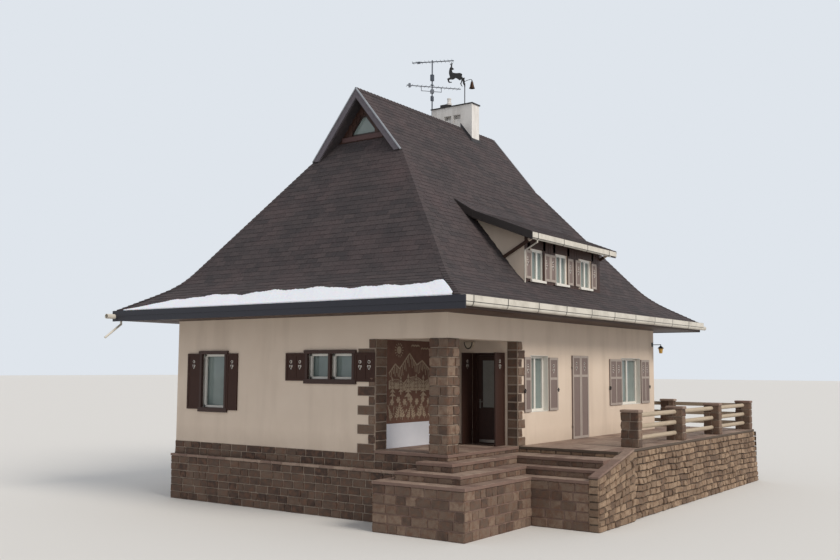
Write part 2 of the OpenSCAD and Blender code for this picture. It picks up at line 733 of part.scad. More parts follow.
module window_frames() color("white") place() {
    on_front() {
        frames_of(front_wins);
        for (w = front_wins) casing(w);
    }
    on_right() {
        frames_of(right_wins);
        frame(tdoor_y0, tdoor_w, fz, tdoor_h, 2, wall_t / 2);
        for (y = dormer_wins) {
            frame(y, dormer_win_w, dormer_sill, dormer_win_h, 2, 20);
            box([y - 45, -sill_out, dormer_sill - 10], [y + dormer_win_w + 45, 0, dormer_sill - 10 + sill_h]);
            box([y + 1, -1, dormer_sill + 1], [y + dormer_win_w - 1, 21, dormer_sill - 10 + sill_h]);
        }
    }
    on_rear() frames_of(rear_wins);
    on_left() frames_of(left_wins);
    gable_lights(20, 80) difference() {
        gable_light(0);
        gable_light(-frame_w / 2);
    }
}

module window_glass() color("lightblue", 0.4) place() {
    on_front() panes_of(front_wins);
    on_right() {
        panes_of(right_wins);
        pane(tdoor_y0, tdoor_w, fz, tdoor_h, wall_t / 2);
        for (y = dormer_wins) pane(y, dormer_win_w, dormer_sill, dormer_win_h, 20);
    }
    on_rear() panes_of(rear_wins);
    on_left() panes_of(left_wins);
    gable_lights(45, 55) gable_light(-frame_w / 2);
}

// Panelled board from x = 0 to w and y = -leaf_t to 0. Wide ones have two columns, tall ones a small
// panel over a long one, and each column has a round and a heart-shaped hole near its top.
module panelled(w, h, both = false) {
    cols = w > 500 ? 2 : 1;
    col_w = (w - stile_w) / cols;
    top_h = h > 1000 ? 420 : h - 2 * stile_w;
    difference() {
        translate([0, -leaf_t, 0]) cube([w, leaf_t, h]);
        for (c = [0 : cols - 1]) translate([stile_w + c * col_w, 0, 0]) {
            for (y = both ? [-leaf_t - 1, -panel_in] : [-leaf_t - 1]) {
                translate([0, y, h - stile_w - top_h]) cube([col_w - stile_w, panel_in + 1, top_h]);
                if (h > 1000) translate([0, y, stile_w])
                    cube([col_w - stile_w, panel_in + 1, h - top_h - 3 * stile_w]);
            }
            translate([(col_w - stile_w) / 2, 1, h - 200]) rotate([90, 0, 0]) linear_extrude(leaf_t + 2) {
                circle(28);
                translate([0, -120]) polygon([[0, -45], [38, 12], [30, 32], [12, 34], [0, 20], [-12, 34],
                    [-30, 32], [-38, 12]]);
            }
        }
    }
}

// Shutters folded back on the wall beside each window of a list
module shutters_of(wins) for (w = wins) {
    z = fz + w[2] + 15;
    h = w[3] - 60;
    translate([w[0] - shutter_gap - w[5], 0, z]) panelled(w[5], h);
    translate([w[0] + w[1] + shutter_gap, 0, z]) panelled(w[6], h);
}

module window_shutters() color("#4b2a1a") place() {
    on_front() shutters_of(front_wins);
    on_right() {
        shutters_of(right_wins);
        for (y = dormer_wins)
            for (x = [y - shutter_gap - 295, y + dormer_win_w + shutter_gap])
                translate([x, 0, dormer_sill + sill_h]) panelled(295, dormer_win_h - 115);
    }
    on_rear() shutters_of(rear_wins);
    on_left() shutters_of(left_wins);
}

// Frame of the front door and the boards that line the doorway in front of it
module door_frame() color("#5a3a26") place() difference() {
    box([door_x0, porch_d, fz], [door_x1, porch_d + 210, fz + door_h]);
    box([door_x0 + 60, porch_d + 129, fz - 1], [door_x1 - 60, porch_d + 211, fz + door_h - 60]);
    box([door_x0 + lining_t, porch_d - 1, fz - 1], [door_x1 - lining_t, porch_d + 130, fz + door_h - lining_t]);
}

// Fixed pin of a leaf's hinge with its lug; to is the way from the pin to the wall
module pintle(x, y, z, to) translate([x, y, z]) {
    cylinder(r = pin_r, h = pin_h);
    rotate([0, 0, to]) box([0, -7, 0], [25, 7, lug_h]);
}

module hinge_pins() color("#222222") place() for (z = leaf_zs) {
    pintle(door_x0, out_y, z, 90);
    pintle(door_x1, out_y, z, 90);
    pintle(ter_x, tdoor_y0 - 20, z, 180);
    pintle(ter_x, tdoor_y0 + tdoor_w + 20, z, 180);
    translate([door_ax, door_ay, z]) {
        cylinder(r = pin_r, h = pin_h);
        box([-7, -18, 0], [22, 7, lug_h]);
    }
}

// Swinging leaf on the axis x, y, turned by a from lying along +X, with two eyes for the pins
module leaf(x, y, a, w, h) translate([x, y, 0]) rotate([0, 0, a]) difference() {
    union() {
        difference() {
            translate([hinge_gap, leaf_t / 2, fz + 10]) panelled(w - hinge_gap, h - 10, true);
            for (z = leaf_zs) translate([0, 0, z - 6]) cylinder(r = eye_r + 15, h = lug_h + 11);
        }
        for (z = leaf_zs) translate([0, 0, z + 20]) cylinder(r = eye_r, h = eye_h);
    }
    for (z = leaf_zs) translate([0, 0, z - 10]) cylinder(r = bore_r, h = pin_h + 28);
}

module outer_door_left() color("#4b2a1a") place() leaf(door_x0, out_y, -90, door_w / 2 - 6, door_h);

module outer_door_right() color("#4b2a1a") place() leaf(door_x1, out_y, -90, door_w / 2 - 6, door_h);

module terrace_shutter_left() color("#4b2a1a") place()
    leaf(ter_x, tdoor_y0 - 20, 90, tdoor_w / 2 + 16, tdoor_h);

module terrace_shutter_right() color("#4b2a1a") place()
    leaf(ter_x, tdoor_y0 + tdoor_w + 20, -90, tdoor_w / 2 + 16, tdoor_h);

// Opening for the glass in the front door, grown by d across its thickness
module door_light(d) {
    box([door_x0 + door_edge + door_stile, door_y + door_t / 2 - d, fz + door_light_z],
        [door_ax - door_stile, door_y + door_t / 2 + d, fz + door_h - door_light_top]);
}

module front_door() color("#5a3320") place() difference() {
    union() {
        box([door_x0 + door_edge, door_y, fz + hinge_gap], [door_ax, door_y + door_t, fz + door_h - door_edge]);
        for (z = leaf_zs) {
            box([door_ax - 34, door_y + door_t - 1, z + 20], [door_ax - 1, door_ay, z + 20 + eye_h]);
            translate([door_ax, door_ay, z + 20]) cylinder(r = eye_r, h = eye_h);
        }
        for (s = [0, 1]) translate([door_x0 + door_edge + 55, door_y + s * door_t, fz + handle_z])
            mirror([0, 1 - s, 0]) {
            box([-18, -1, -150], [18, 6, 60]);
            rotate([-90, 0, 0]) cylinder(r = 9, h = 48);
            translate([-9, 40, 0]) rotate([0, 90, 0]) cylinder(r = 8, h = 125);
        }
    }
    door_light(door_t);
    for (z = leaf_zs) translate([door_ax, door_ay, z]) cylinder(r = bore_r, h = pin_h + 28);
}

module front_door_glass() color("lightgray", 0.5) place() door_light(5);

// Steps and terrace

// Ground plan of the house, the terrace and the first n treads, grown by d at the treads' edges
module steps_plan(n, d) {
    plan([-hx, 0], [hx, ty0]);
    plan([0, ty0 - d], [tx, ty1]);
    for (t = [for (i = [0 : 1 : n - 1]) treads[i]]) {
        plan([hx - t[1], -t[0] - d], [hx + t[2] + d, ty0]);
        plan([hx, ty0 - t[3] - d], [tx, ty0]);
    }
}

// Tread n, from 1 on top: its masonry and its slab, outside the treads above it
module tread(n) {
    h = fz - riser_top - (n - 1) * riser;
    linear_extrude(h - slab_t) difference() {
        steps_plan(n, 0);
        steps_plan(n - 1, 0);
    }
    translate([0, 0, h - slab_t - 1]) linear_extrude(slab_t + 1) difference() {
        steps_plan(n, nosing);
        steps_plan(n - 1, 0);
    }
}

module step_upper() color("tan") place() tread(1);

module step_middle() color("tan") place() tread(2);

module step_lower() color("tan") place() tread(3);

module terrace_base() color("rosybrown") place() {
    prism_y(ty0, ty1) polygon([[hx, 0], [tx + batter, 0], [tx, fz - slab_t], [tx, fz], [hx, fz]]);
    box([hx, ty0 - nosing, fz - slab_t], [tx + nosing, ty1 + nosing, fz]);
    box([terrace_x0, body_l, 0], [hx + 1, ty1, fz]);
    box([terrace_x0 - nosing, body_l, fz - slab_t], [hx + 1, ty1 + nosing, fz]);
    prism_x(tx, tx + cheek_w) {
        run_y = treads[2][3] + cheek_in;
        polygon([[ty0 - treads[2][3], 0], [ty0 + cheek_in, 0], [ty0 + cheek_in, fz],
            [ty0 - treads[2][3], fz - run_y * cheek_fall]]);
    }
}

module post(x, y) {
    box([x, y, fz], [x + post_w, y + post_d, fz + post_h - cap_h]);
    box([x - cap_out, y - cap_out, fz + post_h - cap_h - 1],
        [x + post_w + cap_out, y + post_d + cap_out, fz + post_h]);
}

module terrace_posts() color("rosybrown") place() {
    for (y = post_ys) post(post_out, y);
    for (x = post_xs) post(x, post_ys[3]);
}

// Half-round rails of one bay, l long, their round side to local -y
module rails(x, y, a, l) translate([x, y, fz]) rotate([0, 0, a]) for (z = rail_zs)
    translate([0, 0, z]) rotate([90, 0, 90]) linear_extrude(l) intersection() {
        circle(rail_r);
        translate([-rail_r, -rail_r]) square([rail_r, 2 * rail_r]);
    }

module terrace_rails() color("peru") place() {
    mid = post_w / 2;
    row = post_ys[3] + post_d / 2;
    for (i = [0 : 2]) rails(post_out + mid, post_ys[i] + post_d, 90, post_ys[i + 1] - post_ys[i] - post_d);
    rails(post_out, row, 180, post_out - post_xs[1] - post_w);
    rails(post_xs[1], row, 180, post_xs[1] - post_xs[0] - post_w);
    rails(post_xs[0] + mid, post_ys[3], -90, post_ys[3] - body_l);
}

module wall_lamps() color("gold") place() {
    translate([door_x0 - 50, porch_d, fz + door_h + porch_lamp_up]) rotate([90, 0, 0]) difference() {
        cylinder(r = 100, h = 110);
        translate([-101, 0, -1]) cube([202, 101, 112]);
    }
    translate([hx + 270, body_l - 100, fz + lantern_z]) {
        cylinder(r1 = 45, r2 = 70, h = 150);
        translate([0, 0, 149]) cylinder(r1 = 90, r2 = 15, h = 70);
        translate([0, 0, 218]) cylinder(r = 8, h = 40);
    }
    box([hx, body_l - 108, fz + lantern_z + 250], [hx + 278, body_l - 92, fz + lantern_z + 266]);
    translate([hx, body_l - 100, fz + lantern_z + 258]) rotate([0, 90, 0]) cylinder(r = 45, h = 12);
}

plinth();
ground_floor();
front_wall();
left_wall();
rear_wall();
right_wall();
porch_walls();
door_lintels();
corner_pier();
porch_beams();
attic_floor();
eaves();
roof_front();
roof_rear();
roof_left();
roof_right();
gablet_walls();
bargeboards();
dormer_walls();
dormer_roof();
gutters();
chimney();
chimney_cap();
aerial();
vane_rod();
vane_figure();
vane_bell();
window_frames();
window_glass();
window_shutters();
door_frame();
hinge_pins();
front_door();
front_door_glass();
outer_door_left();
outer_door_right();
terrace_shutter_left();
terrace_shutter_right();
step_upper();
step_middle();
step_lower();
terrace_base();
terrace_posts();
terrace_rails();
wall_lamps();
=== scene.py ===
"""Alpine chalet with a flared hipped roof, a shed dormer, a corner porch and a stone terrace.

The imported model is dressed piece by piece, in the order in which such a house is built. Lengths are
in metres; the entrance front faces -Y, the terrace side faces +X and Z = 0 is the ground.
"""
import math

import bpy
import numpy as np
from mathutils import Matrix, Vector


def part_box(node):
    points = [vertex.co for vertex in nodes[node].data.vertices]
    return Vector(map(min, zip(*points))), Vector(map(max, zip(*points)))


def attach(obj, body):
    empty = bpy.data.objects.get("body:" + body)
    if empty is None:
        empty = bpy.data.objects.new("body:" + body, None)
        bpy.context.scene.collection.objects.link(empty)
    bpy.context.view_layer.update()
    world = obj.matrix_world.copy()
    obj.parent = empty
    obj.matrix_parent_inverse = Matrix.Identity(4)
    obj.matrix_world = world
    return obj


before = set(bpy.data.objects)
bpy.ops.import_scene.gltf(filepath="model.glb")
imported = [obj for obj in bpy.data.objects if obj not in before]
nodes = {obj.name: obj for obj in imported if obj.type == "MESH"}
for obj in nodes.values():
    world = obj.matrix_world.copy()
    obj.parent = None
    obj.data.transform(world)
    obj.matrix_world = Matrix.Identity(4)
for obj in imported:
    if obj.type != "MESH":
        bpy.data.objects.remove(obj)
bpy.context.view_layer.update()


# Camera, floor and light. The camera stands off the porch corner, 1.8 m above the porch floor, and
# looks slightly up. A broad soft key comes from the terrace side and an even fill from all round.
scene = bpy.context.scene
camera = bpy.data.objects.new("camera", bpy.data.cameras.new("camera"))
camera.data.lens = 40.83
camera.data.sensor_width = 36.0
camera.data.clip_end = 500.0
camera.matrix_world = (
    Matrix.Translation((14.991, -16.5245, 3.26))
    @ Matrix.Rotation(math.radians(35.288), 4, "Z")
    @ Matrix.Rotation(math.radians(95.2935), 4, "X")
    @ Matrix.Rotation(math.radians(0.3006), 4, "Z")
)
scene.collection.objects.link(camera)
scene.camera = camera
scene.view_settings.view_transform = "Standard"


def srgb(code):
    """Linear colour of an sRGB hex code such as "d9c9a8"."""
    parts = np.array([int(code[i : i + 2], 16) for i in (0, 2, 4)]) / 255
    linear = np.where(parts <= 0.04045, parts / 12.92, ((parts + 0.055) / 1.055) ** 2.4)
    return (*linear.tolist(), 1.0)


def add(tree, kind, sockets=None, **settings):
    """Adds one node. A socket, named or numbered, gets a value or the output that feeds it."""
    node = tree.nodes.new("ShaderNode" + kind)
    for name, value in settings.items():
        setattr(node, name, value)
    for name, value in (sockets or {}).items():
        if isinstance(value, bpy.types.NodeSocket):
            tree.links.new(value, node.inputs[name])
        else:
            node.inputs[name].default_value = value
    return node


world = bpy.data.worlds.new("studio")
scene.world = world
world.use_nodes = True
sky = world.node_tree
sky.nodes.clear()
rays = add(sky, "LightPath").outputs
seen = add(sky, "Math", {0: rays["Is Camera Ray"], 1: rays["Is Glossy Ray"]}, operation="MAXIMUM")
seen = add(sky, "Math", {0: seen.outputs[0], 1: rays["Is Transmission Ray"]}, operation="MAXIMUM")
fill = add(sky, "Background", {"Color": srgb("f4f6fb"), "Strength": 0.62})
backdrop = add(sky, "Background", {"Color": srgb("dfe5ec"), "Strength": 1.0})
both = add(sky, "MixShader", {0: seen.outputs[0], 1: fill.outputs[0], 2: backdrop.outputs[0]})
add(sky, "OutputWorld", {"Surface": both.outputs[0]})

key = bpy.data.objects.new("key", bpy.data.lights.new("key", "SUN"))
key.data.energy = 2.1
key.data.angle = math.radians(24)
key.data.color = srgb("fff6ea")[:3]
key.rotation_euler = Vector((0.80, -0.10, 0.62)).to_track_quat("Z", "Y").to_euler()
scene.collection.objects.link(key)


def finish(name, values=None):
    """Starts a material with the values that are the same all over.
    Returns it with its tree, its principled shader and the object coordinates its patterns read."""
    material = bpy.data.materials.new(name)
    material.use_nodes = True
    tree = material.node_tree
    shader = tree.nodes["Principled BSDF"]
    for socket, value in (values or {}).items():
        shader.inputs[socket].default_value = value
    return material, tree, shader, add(tree, "TexCoord").outputs["Object"]


floor_size = 300.0
ground = np.array([[-1, -1, 0], [1, -1, 0], [1, 1, 0], [-1, 1, 0]]) * floor_size
floor_mesh = bpy.data.meshes.new("floor")
floor_mesh.from_pydata(ground, [], [[0, 1, 2, 3]])
floor_mesh.materials.append(finish("pale_floor", {"Base Color": srgb("dcdbd8"), "Roughness": 0.9})[0])
studio_floor = bpy.data.objects.new("studio_floor", floor_mesh)
scene.collection.objects.link(studio_floor)


# Plinth and footing: courses of split porphyry, a reddish brown volcanic stone, bedded in lime mortar
# that shows as thin joints. In front a footing stands out below, with a ledge of thin slabs on top.
front_low, front_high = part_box("front_wall")
rear_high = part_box("rear_wall")[1]
half = rear_high[0]
back = rear_high[1]
face = front_low[1]
wall_foot = front_low[2]
porch_left = front_high[0]
footing_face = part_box("plinth")[0][1]
footing_top = 1.1
UP = np.array([0.0, 0.0, 1.0])
RIGHT, LEFT = np.array([1.0, 0.0, 0.0]), np.array([-1.0, 0.0, 0.0])
INTO, OUT = np.array([0.0, 1.0, 0.0]), np.array([0.0, -1.0, 0.0])


def noise(tree, place, scale, detail=2.0, roughness=0.5, stretch=None):
    """Noise of so many swells a metre. A stretch multiplies the coordinates, so the pattern is drawn
    out along the axes where it is small."""
    if stretch:
        place = add(tree, "Mapping", {"Vector": place, "Scale": stretch}).outputs[0]
    sockets = {"Vector": place, "Scale": scale, "Detail": detail, "Roughness": roughness}
    return add(tree, "TexNoise", sockets).outputs[0]


def remap(tree, value, low, high, to_low, to_high):
    """Value of one range moved to another, and held at its ends."""
    sockets = {"Value": value, "From Min": low, "From Max": high, "To Min": to_low, "To Max": to_high}
    return add(tree, "MapRange", sockets).outputs[0]


def blend(tree, share, first, second, kind="MIX"):
    """Two colours, each a hex code or an output, mixed by a share."""
    first, second = (srgb(colour) if isinstance(colour, str) else colour for colour in (first, second))
    sockets = {"Fac": share, "Color1": first, "Color2": second}
    return add(tree, "MixRGB", sockets, blend_type=kind).outputs[0]


def own_tone(tree):
    """The tone of each stone, slab, tab or board, from the mesh's own attribute."""
    return add(tree, "Attribute", attribute_name="tone").outputs["Fac"]


def coat(tree, shader, colour, height=None, bump=None):
    """Gives the shader its colour, and raises it by a height; bump is its strength and its depth."""
    tree.links.new(colour, shader.inputs["Base Color"])
    if bump:
        sockets = {"Strength": bump[0], "Distance": bump[1], "Height": height}
        tree.links.new(add(tree, "Bump", sockets).outputs[0], shader.inputs["Normal"])


def split_stone(name, dark, light, stained_patch):
    """Split stone, rough and matt: each stone keeps its own tone between dark and light, patches a
    hand wide are stained, and grains of about 4 mm show close up."""
    material, tree, shader, place = finish(name, {"Roughness": 0.86, "Specular IOR Level": 0.3})
    patch = remap(tree, noise(tree, place, 9.0, 4.0), 0.45, 0.75, 0.0, 1.0)
    grain = noise(tree, place, 120.0, 3.0)
    colour = blend(tree, patch, blend(tree, own_tone(tree), dark, light), stained_patch)
    colour = blend(tree, 1.0, colour, remap(tree, grain, 0.35, 0.7, 0.72, 1.22), "MULTIPLY")
    coat(tree, shader, colour, grain, (0.7, 0.006))
    return material


def mottled(name, first, second, values, scale, detail=2.0, roughness=0.5, stretch=None, spread=None,
        bump=None):
    """Finish whose colour wanders between two with one noise, which may also raise its surface. spread
    is the noise's range that counts and the most that the second colour then gets."""
    material, tree, shader, place = finish(name, values)
    pattern = noise(tree, place, scale, detail, roughness, stretch)
    share = remap(tree, pattern, spread[0], spread[1], 0.0, spread[2]) if spread else pattern
    coat(tree, shader, blend(tree, share, first, second), pattern, bump)
    return material


# Split porphyry: dull, reddish brown, with rusty patches
porphyry = split_stone("split_porphyry", "463832", "8c7868", "6e5243")

# Lime mortar: grey-buff, sandy
mortar = mottled("lime_mortar", "7d7065", "a09183", {"Roughness": 0.95}, 90.0, 3.0, bump=(0.5, 0.004))


def table(*values):
    """Rows of a column for each value: a list of numbers, or one number that fills its column."""
    return np.stack(np.broadcast_arrays(*values), 1).astype(float)


def coursed(left, right, low, high, course, stone, seed):
    """Rectangles (left, right, foot, top) of stones in level courses. The course heights are even and
    each course is cut at the running sum of random widths, scaled to fill it."""
    random = np.random.default_rng(seed)
    levels = np.linspace(low, high, max(1, round((high - low) / course)) + 1)
    rows = []
    for foot, top in zip(levels[:-1], levels[1:]):
        widths = random.uniform(0.6, 1.4, max(1, round((right - left) / stone)))
        cuts = left + np.concatenate([[0], np.cumsum(widths)]) / widths.sum() * (right - left)
        rows.append(table(cuts[:-1], cuts[1:], foot, top))
    return np.concatenate(rows)


def grid(count, rows, columns):
    """Corner numbers of the quads of several grids of points, rows by columns each."""
    row, column = np.meshgrid(np.arange(rows - 1), np.arange(columns - 1), indexing="ij")
    first = (row * columns + column).ravel()
    quads = np.stack([first, first + 1, first + columns + 1, first + columns], 1)
    return (quads[None] + np.arange(count)[:, None, None] * rows * columns).reshape(-1, 4)


def stonework(rects, corner, along, up, seed, joint=0.009, relief=0.03, tones=(0.0, 1.0), warp=None):
    """Rock-faced stones on a wall. A stone is a grid of 5 x 6 points over its rectangle less half a
    joint: corner + along * u + up * z + out * depth, where the depth is relief times a random swell
    and the rim is sunk in the mortar. warp may turn (u, z) into another height."""
    random = np.random.default_rng(seed)
    across, climb = np.meshgrid([0, 0.05, 0.35, 0.65, 0.95, 1], [0, 0.08, 0.5, 0.92, 1])
    count = len(rects)
    left, right, foot, top = (rects[:, i, None, None] for i in range(4))
    inner = (across > 0) & (across < 1) & (climb > 0) & (climb < 1)
    stray = random.uniform(-0.2, 0.2, (2, count, 5, 6)) * joint
    u = left + joint / 2 + across * (right - left - joint) + stray[0]
    z = foot + joint / 2 + climb * (top - foot - joint) + stray[1]
    swell = random.uniform(0.55, 1.0, (count, 1, 1)) * random.uniform(0.5, 1.3, (count, 5, 6))
    depth = np.where(inner, relief * swell, -0.012)
    if warp:
        z = warp(u, z)
    out = np.cross(along, up)
    points = corner + u[..., None] * along + z[..., None] * up + depth[..., None] * out
    tone = random.uniform(*tones, (count, 1, 1)) + random.uniform(-0.08, 0.08, (count, 5, 6))
    return points, [grid(count, 5, 6)], tone


def facing(span, rise, size, corner, along, seeds, up=UP, **more):
    """Coursed stonework between left and right, and foot and top. size is the height of a course and
    the mean length of a stone; the seeds are for the courses and for the stones' faces."""
    return stonework(coursed(*span, *rise, *size, seeds[0]), corner, along, up, seeds[1], **more)


def dress(material, *names):
    """Gives CAD nodes a material by their own slots."""
    for name in names:
        for slot in nodes[name].material_slots:
            slot.material = material


def piece(name, parts, material, body="house", bevel=0.0, smooth=0.0):
    """Joins parts, each (points, list of face arrays, tone of each point), into one piece of the object.
    A bevel takes off its edges; smooth is the angle in degrees up to which faces shade as one."""
    points, rows, tones, first = [], [], [], 0
    for part, faces, tone in parts:
        part = part.reshape(-1, 3)
        points.append(part)
        tones.append(np.broadcast_to(tone, len(part)) if np.ndim(tone) == 0 else np.ravel(tone))
        for group in faces:
            rows.extend((group + first).tolist())
        first += len(part)
    mesh = bpy.data.meshes.new(name)
    mesh.from_pydata(np.concatenate(points), [], rows)
    values = mesh.attributes.new("tone", "FLOAT", "POINT")
    values.data.foreach_set("value", np.concatenate(tones).astype(np.float32))
    mesh.materials.append(material)
    if smooth:
        mesh.shade_smooth()
        mesh.set_sharp_from_angle(angle=math.radians(smooth))
    made = bpy.data.objects.new(name, mesh)
    scene.collection.objects.link(made)
    if bevel:
        edge = made.modifiers.new("edge", "BEVEL")
        edge.width = bevel
        edge.segments = 1
        edge.limit_method = "ANGLE"
    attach(made, body)
    return made


lap = 0.018
ledge_t = 0.05
slab_foot = 1.445
footing_right = 3.04
plinth_rows = [
    facing((-half - lap, porch_left), (footing_top, wall_foot), (0.16, 0.37), (0, face, 0), RIGHT, (1, 2),
        tones=(0, 0.55)),
    facing((porch_left, 3.7), (footing_top, slab_foot), (0.16, 0.30), (0, face, 0), RIGHT, (3, 4),
        tones=(0, 0.55)),
    facing((-back - lap, lap - face), (0, wall_foot), (0.2, 0.34), (-half, 0, 0), OUT, (5, 6),
        tones=(0, 0.6)),
    facing((-1.3, half + lap), (0, wall_foot), (0.2, 0.34), (0, back, 0), LEFT, (7, 8), tones=(0, 0.6)),
    facing((-half - 0.01, footing_right - 0.015), (0, footing_top - ledge_t), (0.18, 0.32),
        (0, footing_face, 0), RIGHT, (9, 10), relief=0.028, tones=(0, 0.45)),
]
dress(mortar, "plinth", "corner_pier", "terrace_posts")
piece("plinth_stones", plinth_rows, porphyry, smooth=38)


# Porch floor: sawn porphyry slabs laid with narrow joints over the concrete, each a thin box with
# its edges taken off.
def repeat(faces, count, points):
    """The same faces for each of several shapes that have so many points."""
    faces = np.asarray(faces)
    return (faces[None] + np.arange(count)[:, None, None] * points).reshape(-1, faces.shape[1])


def boxes(corners, opposite, seed=0):
    """Boxes between opposite corners: each point is the lowest corner + a choice of the three sides."""
    lows = np.atleast_2d(np.minimum(corners, opposite)).astype(float)
    highs = np.atleast_2d(np.maximum(corners, opposite)).astype(float)
    return blocks(lows, np.eye(3) * (highs - lows)[:, None, :], seed)


def blocks(corners, edges, seed=0):
    """Slanted boxes: each point is the corner + a choice of its three edge vectors, right-handed."""
    pick = np.array([[i, j, k] for k in (0, 1) for j in (0, 1) for i in (0, 1)], float)
    points = np.asarray(corners, float)[:, None] + np.einsum("ci,nij->ncj", pick, np.asarray(edges, float))
    faces = [[0, 2, 3, 1], [4, 5, 7, 6], [0, 1, 5, 4], [2, 6, 7, 3], [0, 4, 6, 2], [1, 3, 7, 5]]
    tone = np.random.default_rng(seed).uniform(0, 1, (len(points), 1)) * np.ones((1, 8))
    return points, [repeat(faces, len(points), 8)], tone


# Sawn porphyry slabs: smoother and lighter from wear than the split stones
slab_stone, tree, shader, place = finish("sawn_porphyry", {"Roughness": 0.75, "Specular IOR Level": 0.35})
patch = remap(tree, noise(tree, place, 5.0, 6.0, 0.65), 0.4, 0.7, 0.0, 0.6)
grain = noise(tree, place, 150.0)
colour = blend(tree, patch, blend(tree, own_tone(tree), "7d665c", "a79384"), "6a5850")
colour = blend(tree, 1.0, colour, remap(tree, grain, 0.3, 0.7, 0.85, 1.12), "MULTIPLY")
coat(tree, shader, colour, grain, (0.4, 0.003))


def paving(left, right, front, rear, low, high, size, seed, rows_along_y=False):
    """Slabs in straight rows with random lengths, as the boxes of `coursed` rectangles laid flat."""
    if rows_along_y:
        rects = coursed(front, rear, left, right, size, size * 1.4, seed)[:, [2, 3, 0, 1]]
    else:
        rects = coursed(left, right, front, rear, size, size * 1.4, seed)
    half_joint = 0.004
    lows = table(rects[:, 0] + half_joint, rects[:, 2] + half_joint, low)
    highs = table(rects[:, 1] - half_joint, rects[:, 3] - half_joint, high)
    return boxes(lows, highs, seed)


dress(slab_stone, "ground_floor", "step_upper", "step_middle", "step_lower")
porch_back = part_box("right_wall")[0][1]
floor_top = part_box("ground_floor")[1][2]
proud = 0.004
nosing = 0.028
porch_depth = 2.95
porch_slabs = paving(porch_left, half + nosing, face - nosing, porch_back, slab_foot - 0.002,
    floor_top + proud, 0.42, 20)
piece("porch_slabs", [porch_slabs], slab_stone, bevel=0.004)
riser = {"rise": (1.369, slab_foot), "size": (0.08, 0.3), "relief": 0.02, "tones": (0.1, 0.9)}
porch_risers = [
    facing((half - 0.50, half + lap), corner=(0, face, 0), along=RIGHT, seeds=(21, 22), **riser),
    facing((face - lap, face + porch_depth), corner=(half, 0, 0), along=INTO, seeds=(23, 24), **riser),
]
piece("porch_riser_stones", porch_risers, porphyry, smooth=38)
ledge = paving(-half - 0.03, footing_right, footing_face - 0.03, face, footing_top - ledge_t,
    footing_top + 0.006, 0.3, 25)
piece("footing_ledge", [ledge], slab_stone, bevel=0.006)


# Walls: masonry under a coat of lime render, brushed flat with a felt float and painted cream.
# Corners beside the porch are bonded with split porphyry quoins, alternately long and short.
# Cream render: matt and finely grained, with faint clouds and grey streaks down it
render, tree, shader, place = finish("cream_lime_render", {"Roughness": 0.93, "Specular IOR Level": 0.2})
mottle = noise(tree, place, 1.1, 6.0, 0.6)
streak = remap(tree, noise(tree, place, 1.0, 4.0, stretch=(2.2, 2.2, 0.3)), 0.5, 0.8, 0.0, 0.4)
colour = blend(tree, streak, blend(tree, mottle, "e0d1c1", "d2c1b0"), "b8a797")
# Rain splashes dirt up the lowest 0.4 m of the wall
height = add(tree, "SeparateXYZ", {0: place}).outputs["Z"]
splash = {0: remap(tree, height, 1.85, 1.4, 0.0, 0.45), 1: mottle}
splash = add(tree, "Math", splash, operation="MULTIPLY").outputs[0]
colour = blend(tree, splash, colour, "86786a")
coat(tree, shader, colour, noise(tree, place, 160.0, 4.0), (0.5, 0.003))
dress(render, "front_wall", "left_wall", "rear_wall", "right_wall", "porch_walls", "door_lintels",
    "porch_beams", "dormer_walls")


def quoins(edge, short, long, low, high, course, flip=False):
    """Rectangles of a bonded corner: courses from the edge, alternately long and short."""
    levels = np.linspace(low, high, round((high - low) / course) + 1)
    reach = np.where(np.arange(len(levels) - 1) % 2 == 0, long, short)
    sides = (edge, edge + reach) if flip else (edge - reach, edge)
    return table(*sides, levels[:-1], levels[1:])


def backing(rects, corner, along, depth):
    """Mortar beds behind stones: each rectangle as a box that stands out by depth."""
    out = np.cross(along, UP)
    starts = corner + rects[:, 0, None] * along + rects[:, 2, None] * UP - 0.01 * out
    sides = [(rects[:, 1] - rects[:, 0])[:, None] * along, (rects[:, 3] - rects[:, 2])[:, None] * UP]
    return blocks(starts, np.stack([*sides, np.tile(out * (depth + 0.01), (len(rects), 1))], 1))


pier_low, pier_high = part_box("corner_pier")
porch_top = pier_high[2]
course = 0.199
rise = (floor_top, porch_top, course)
# Stones, a corner of the wall, the way along it, a seed, and how far the stones stand out: those
# behind the open outer leaf are dressed nearly flat
front_quoins = quoins(porch_left + lap, 0.19, 0.50, floor_top - 0.08, porch_top, course)
corner_sets = [
    (front_quoins, (0, face, 0), RIGHT, 30, 0.03),
    (coursed(face - lap, pier_high[1], *rise, 0.30, 31), (porch_left, 0, 0), INTO, 32, 0.03),
    (coursed(3.85, half + lap, *rise, 0.24, 33), (0, porch_back, 0), RIGHT, 34, 0.008),
    (quoins(porch_back - lap, 0.20, 0.34, *rise, flip=True), (half, 0, 0), INTO, 35, 0.03),
]
beds = [backing(rects, corner, along, relief / 5) for rects, corner, along, seed, relief in corner_sets]
piece("corner_mortar", beds, mortar)
corner_stones = [stonework(rects, corner, along, UP, seed, relief=relief, tones=(0.05, 0.75))
    for rects, corner, along, seed, relief in corner_sets]
piece("corner_stones", corner_stones, porphyry, smooth=38)


# Pier at the porch corner: solid porphyry blocks with rock faces, in courses of about 0.2 m.
def four_sides(low, high, over):
    """Span, corner and way along of each side of an upright pier, from the front anticlockwise. The
    spans run past its corners by over."""
    return [
        ((low[0] - over, high[0] + over), (0, low[1], 0), RIGHT),
        ((low[1] - over, high[1] + over), (high[0], 0, 0), INTO),
        ((-high[0] - over, over - low[0]), (0, high[1], 0), LEFT),
        ((-high[1] - over, over - low[1]), (low[0], 0, 0), OUT),
    ]


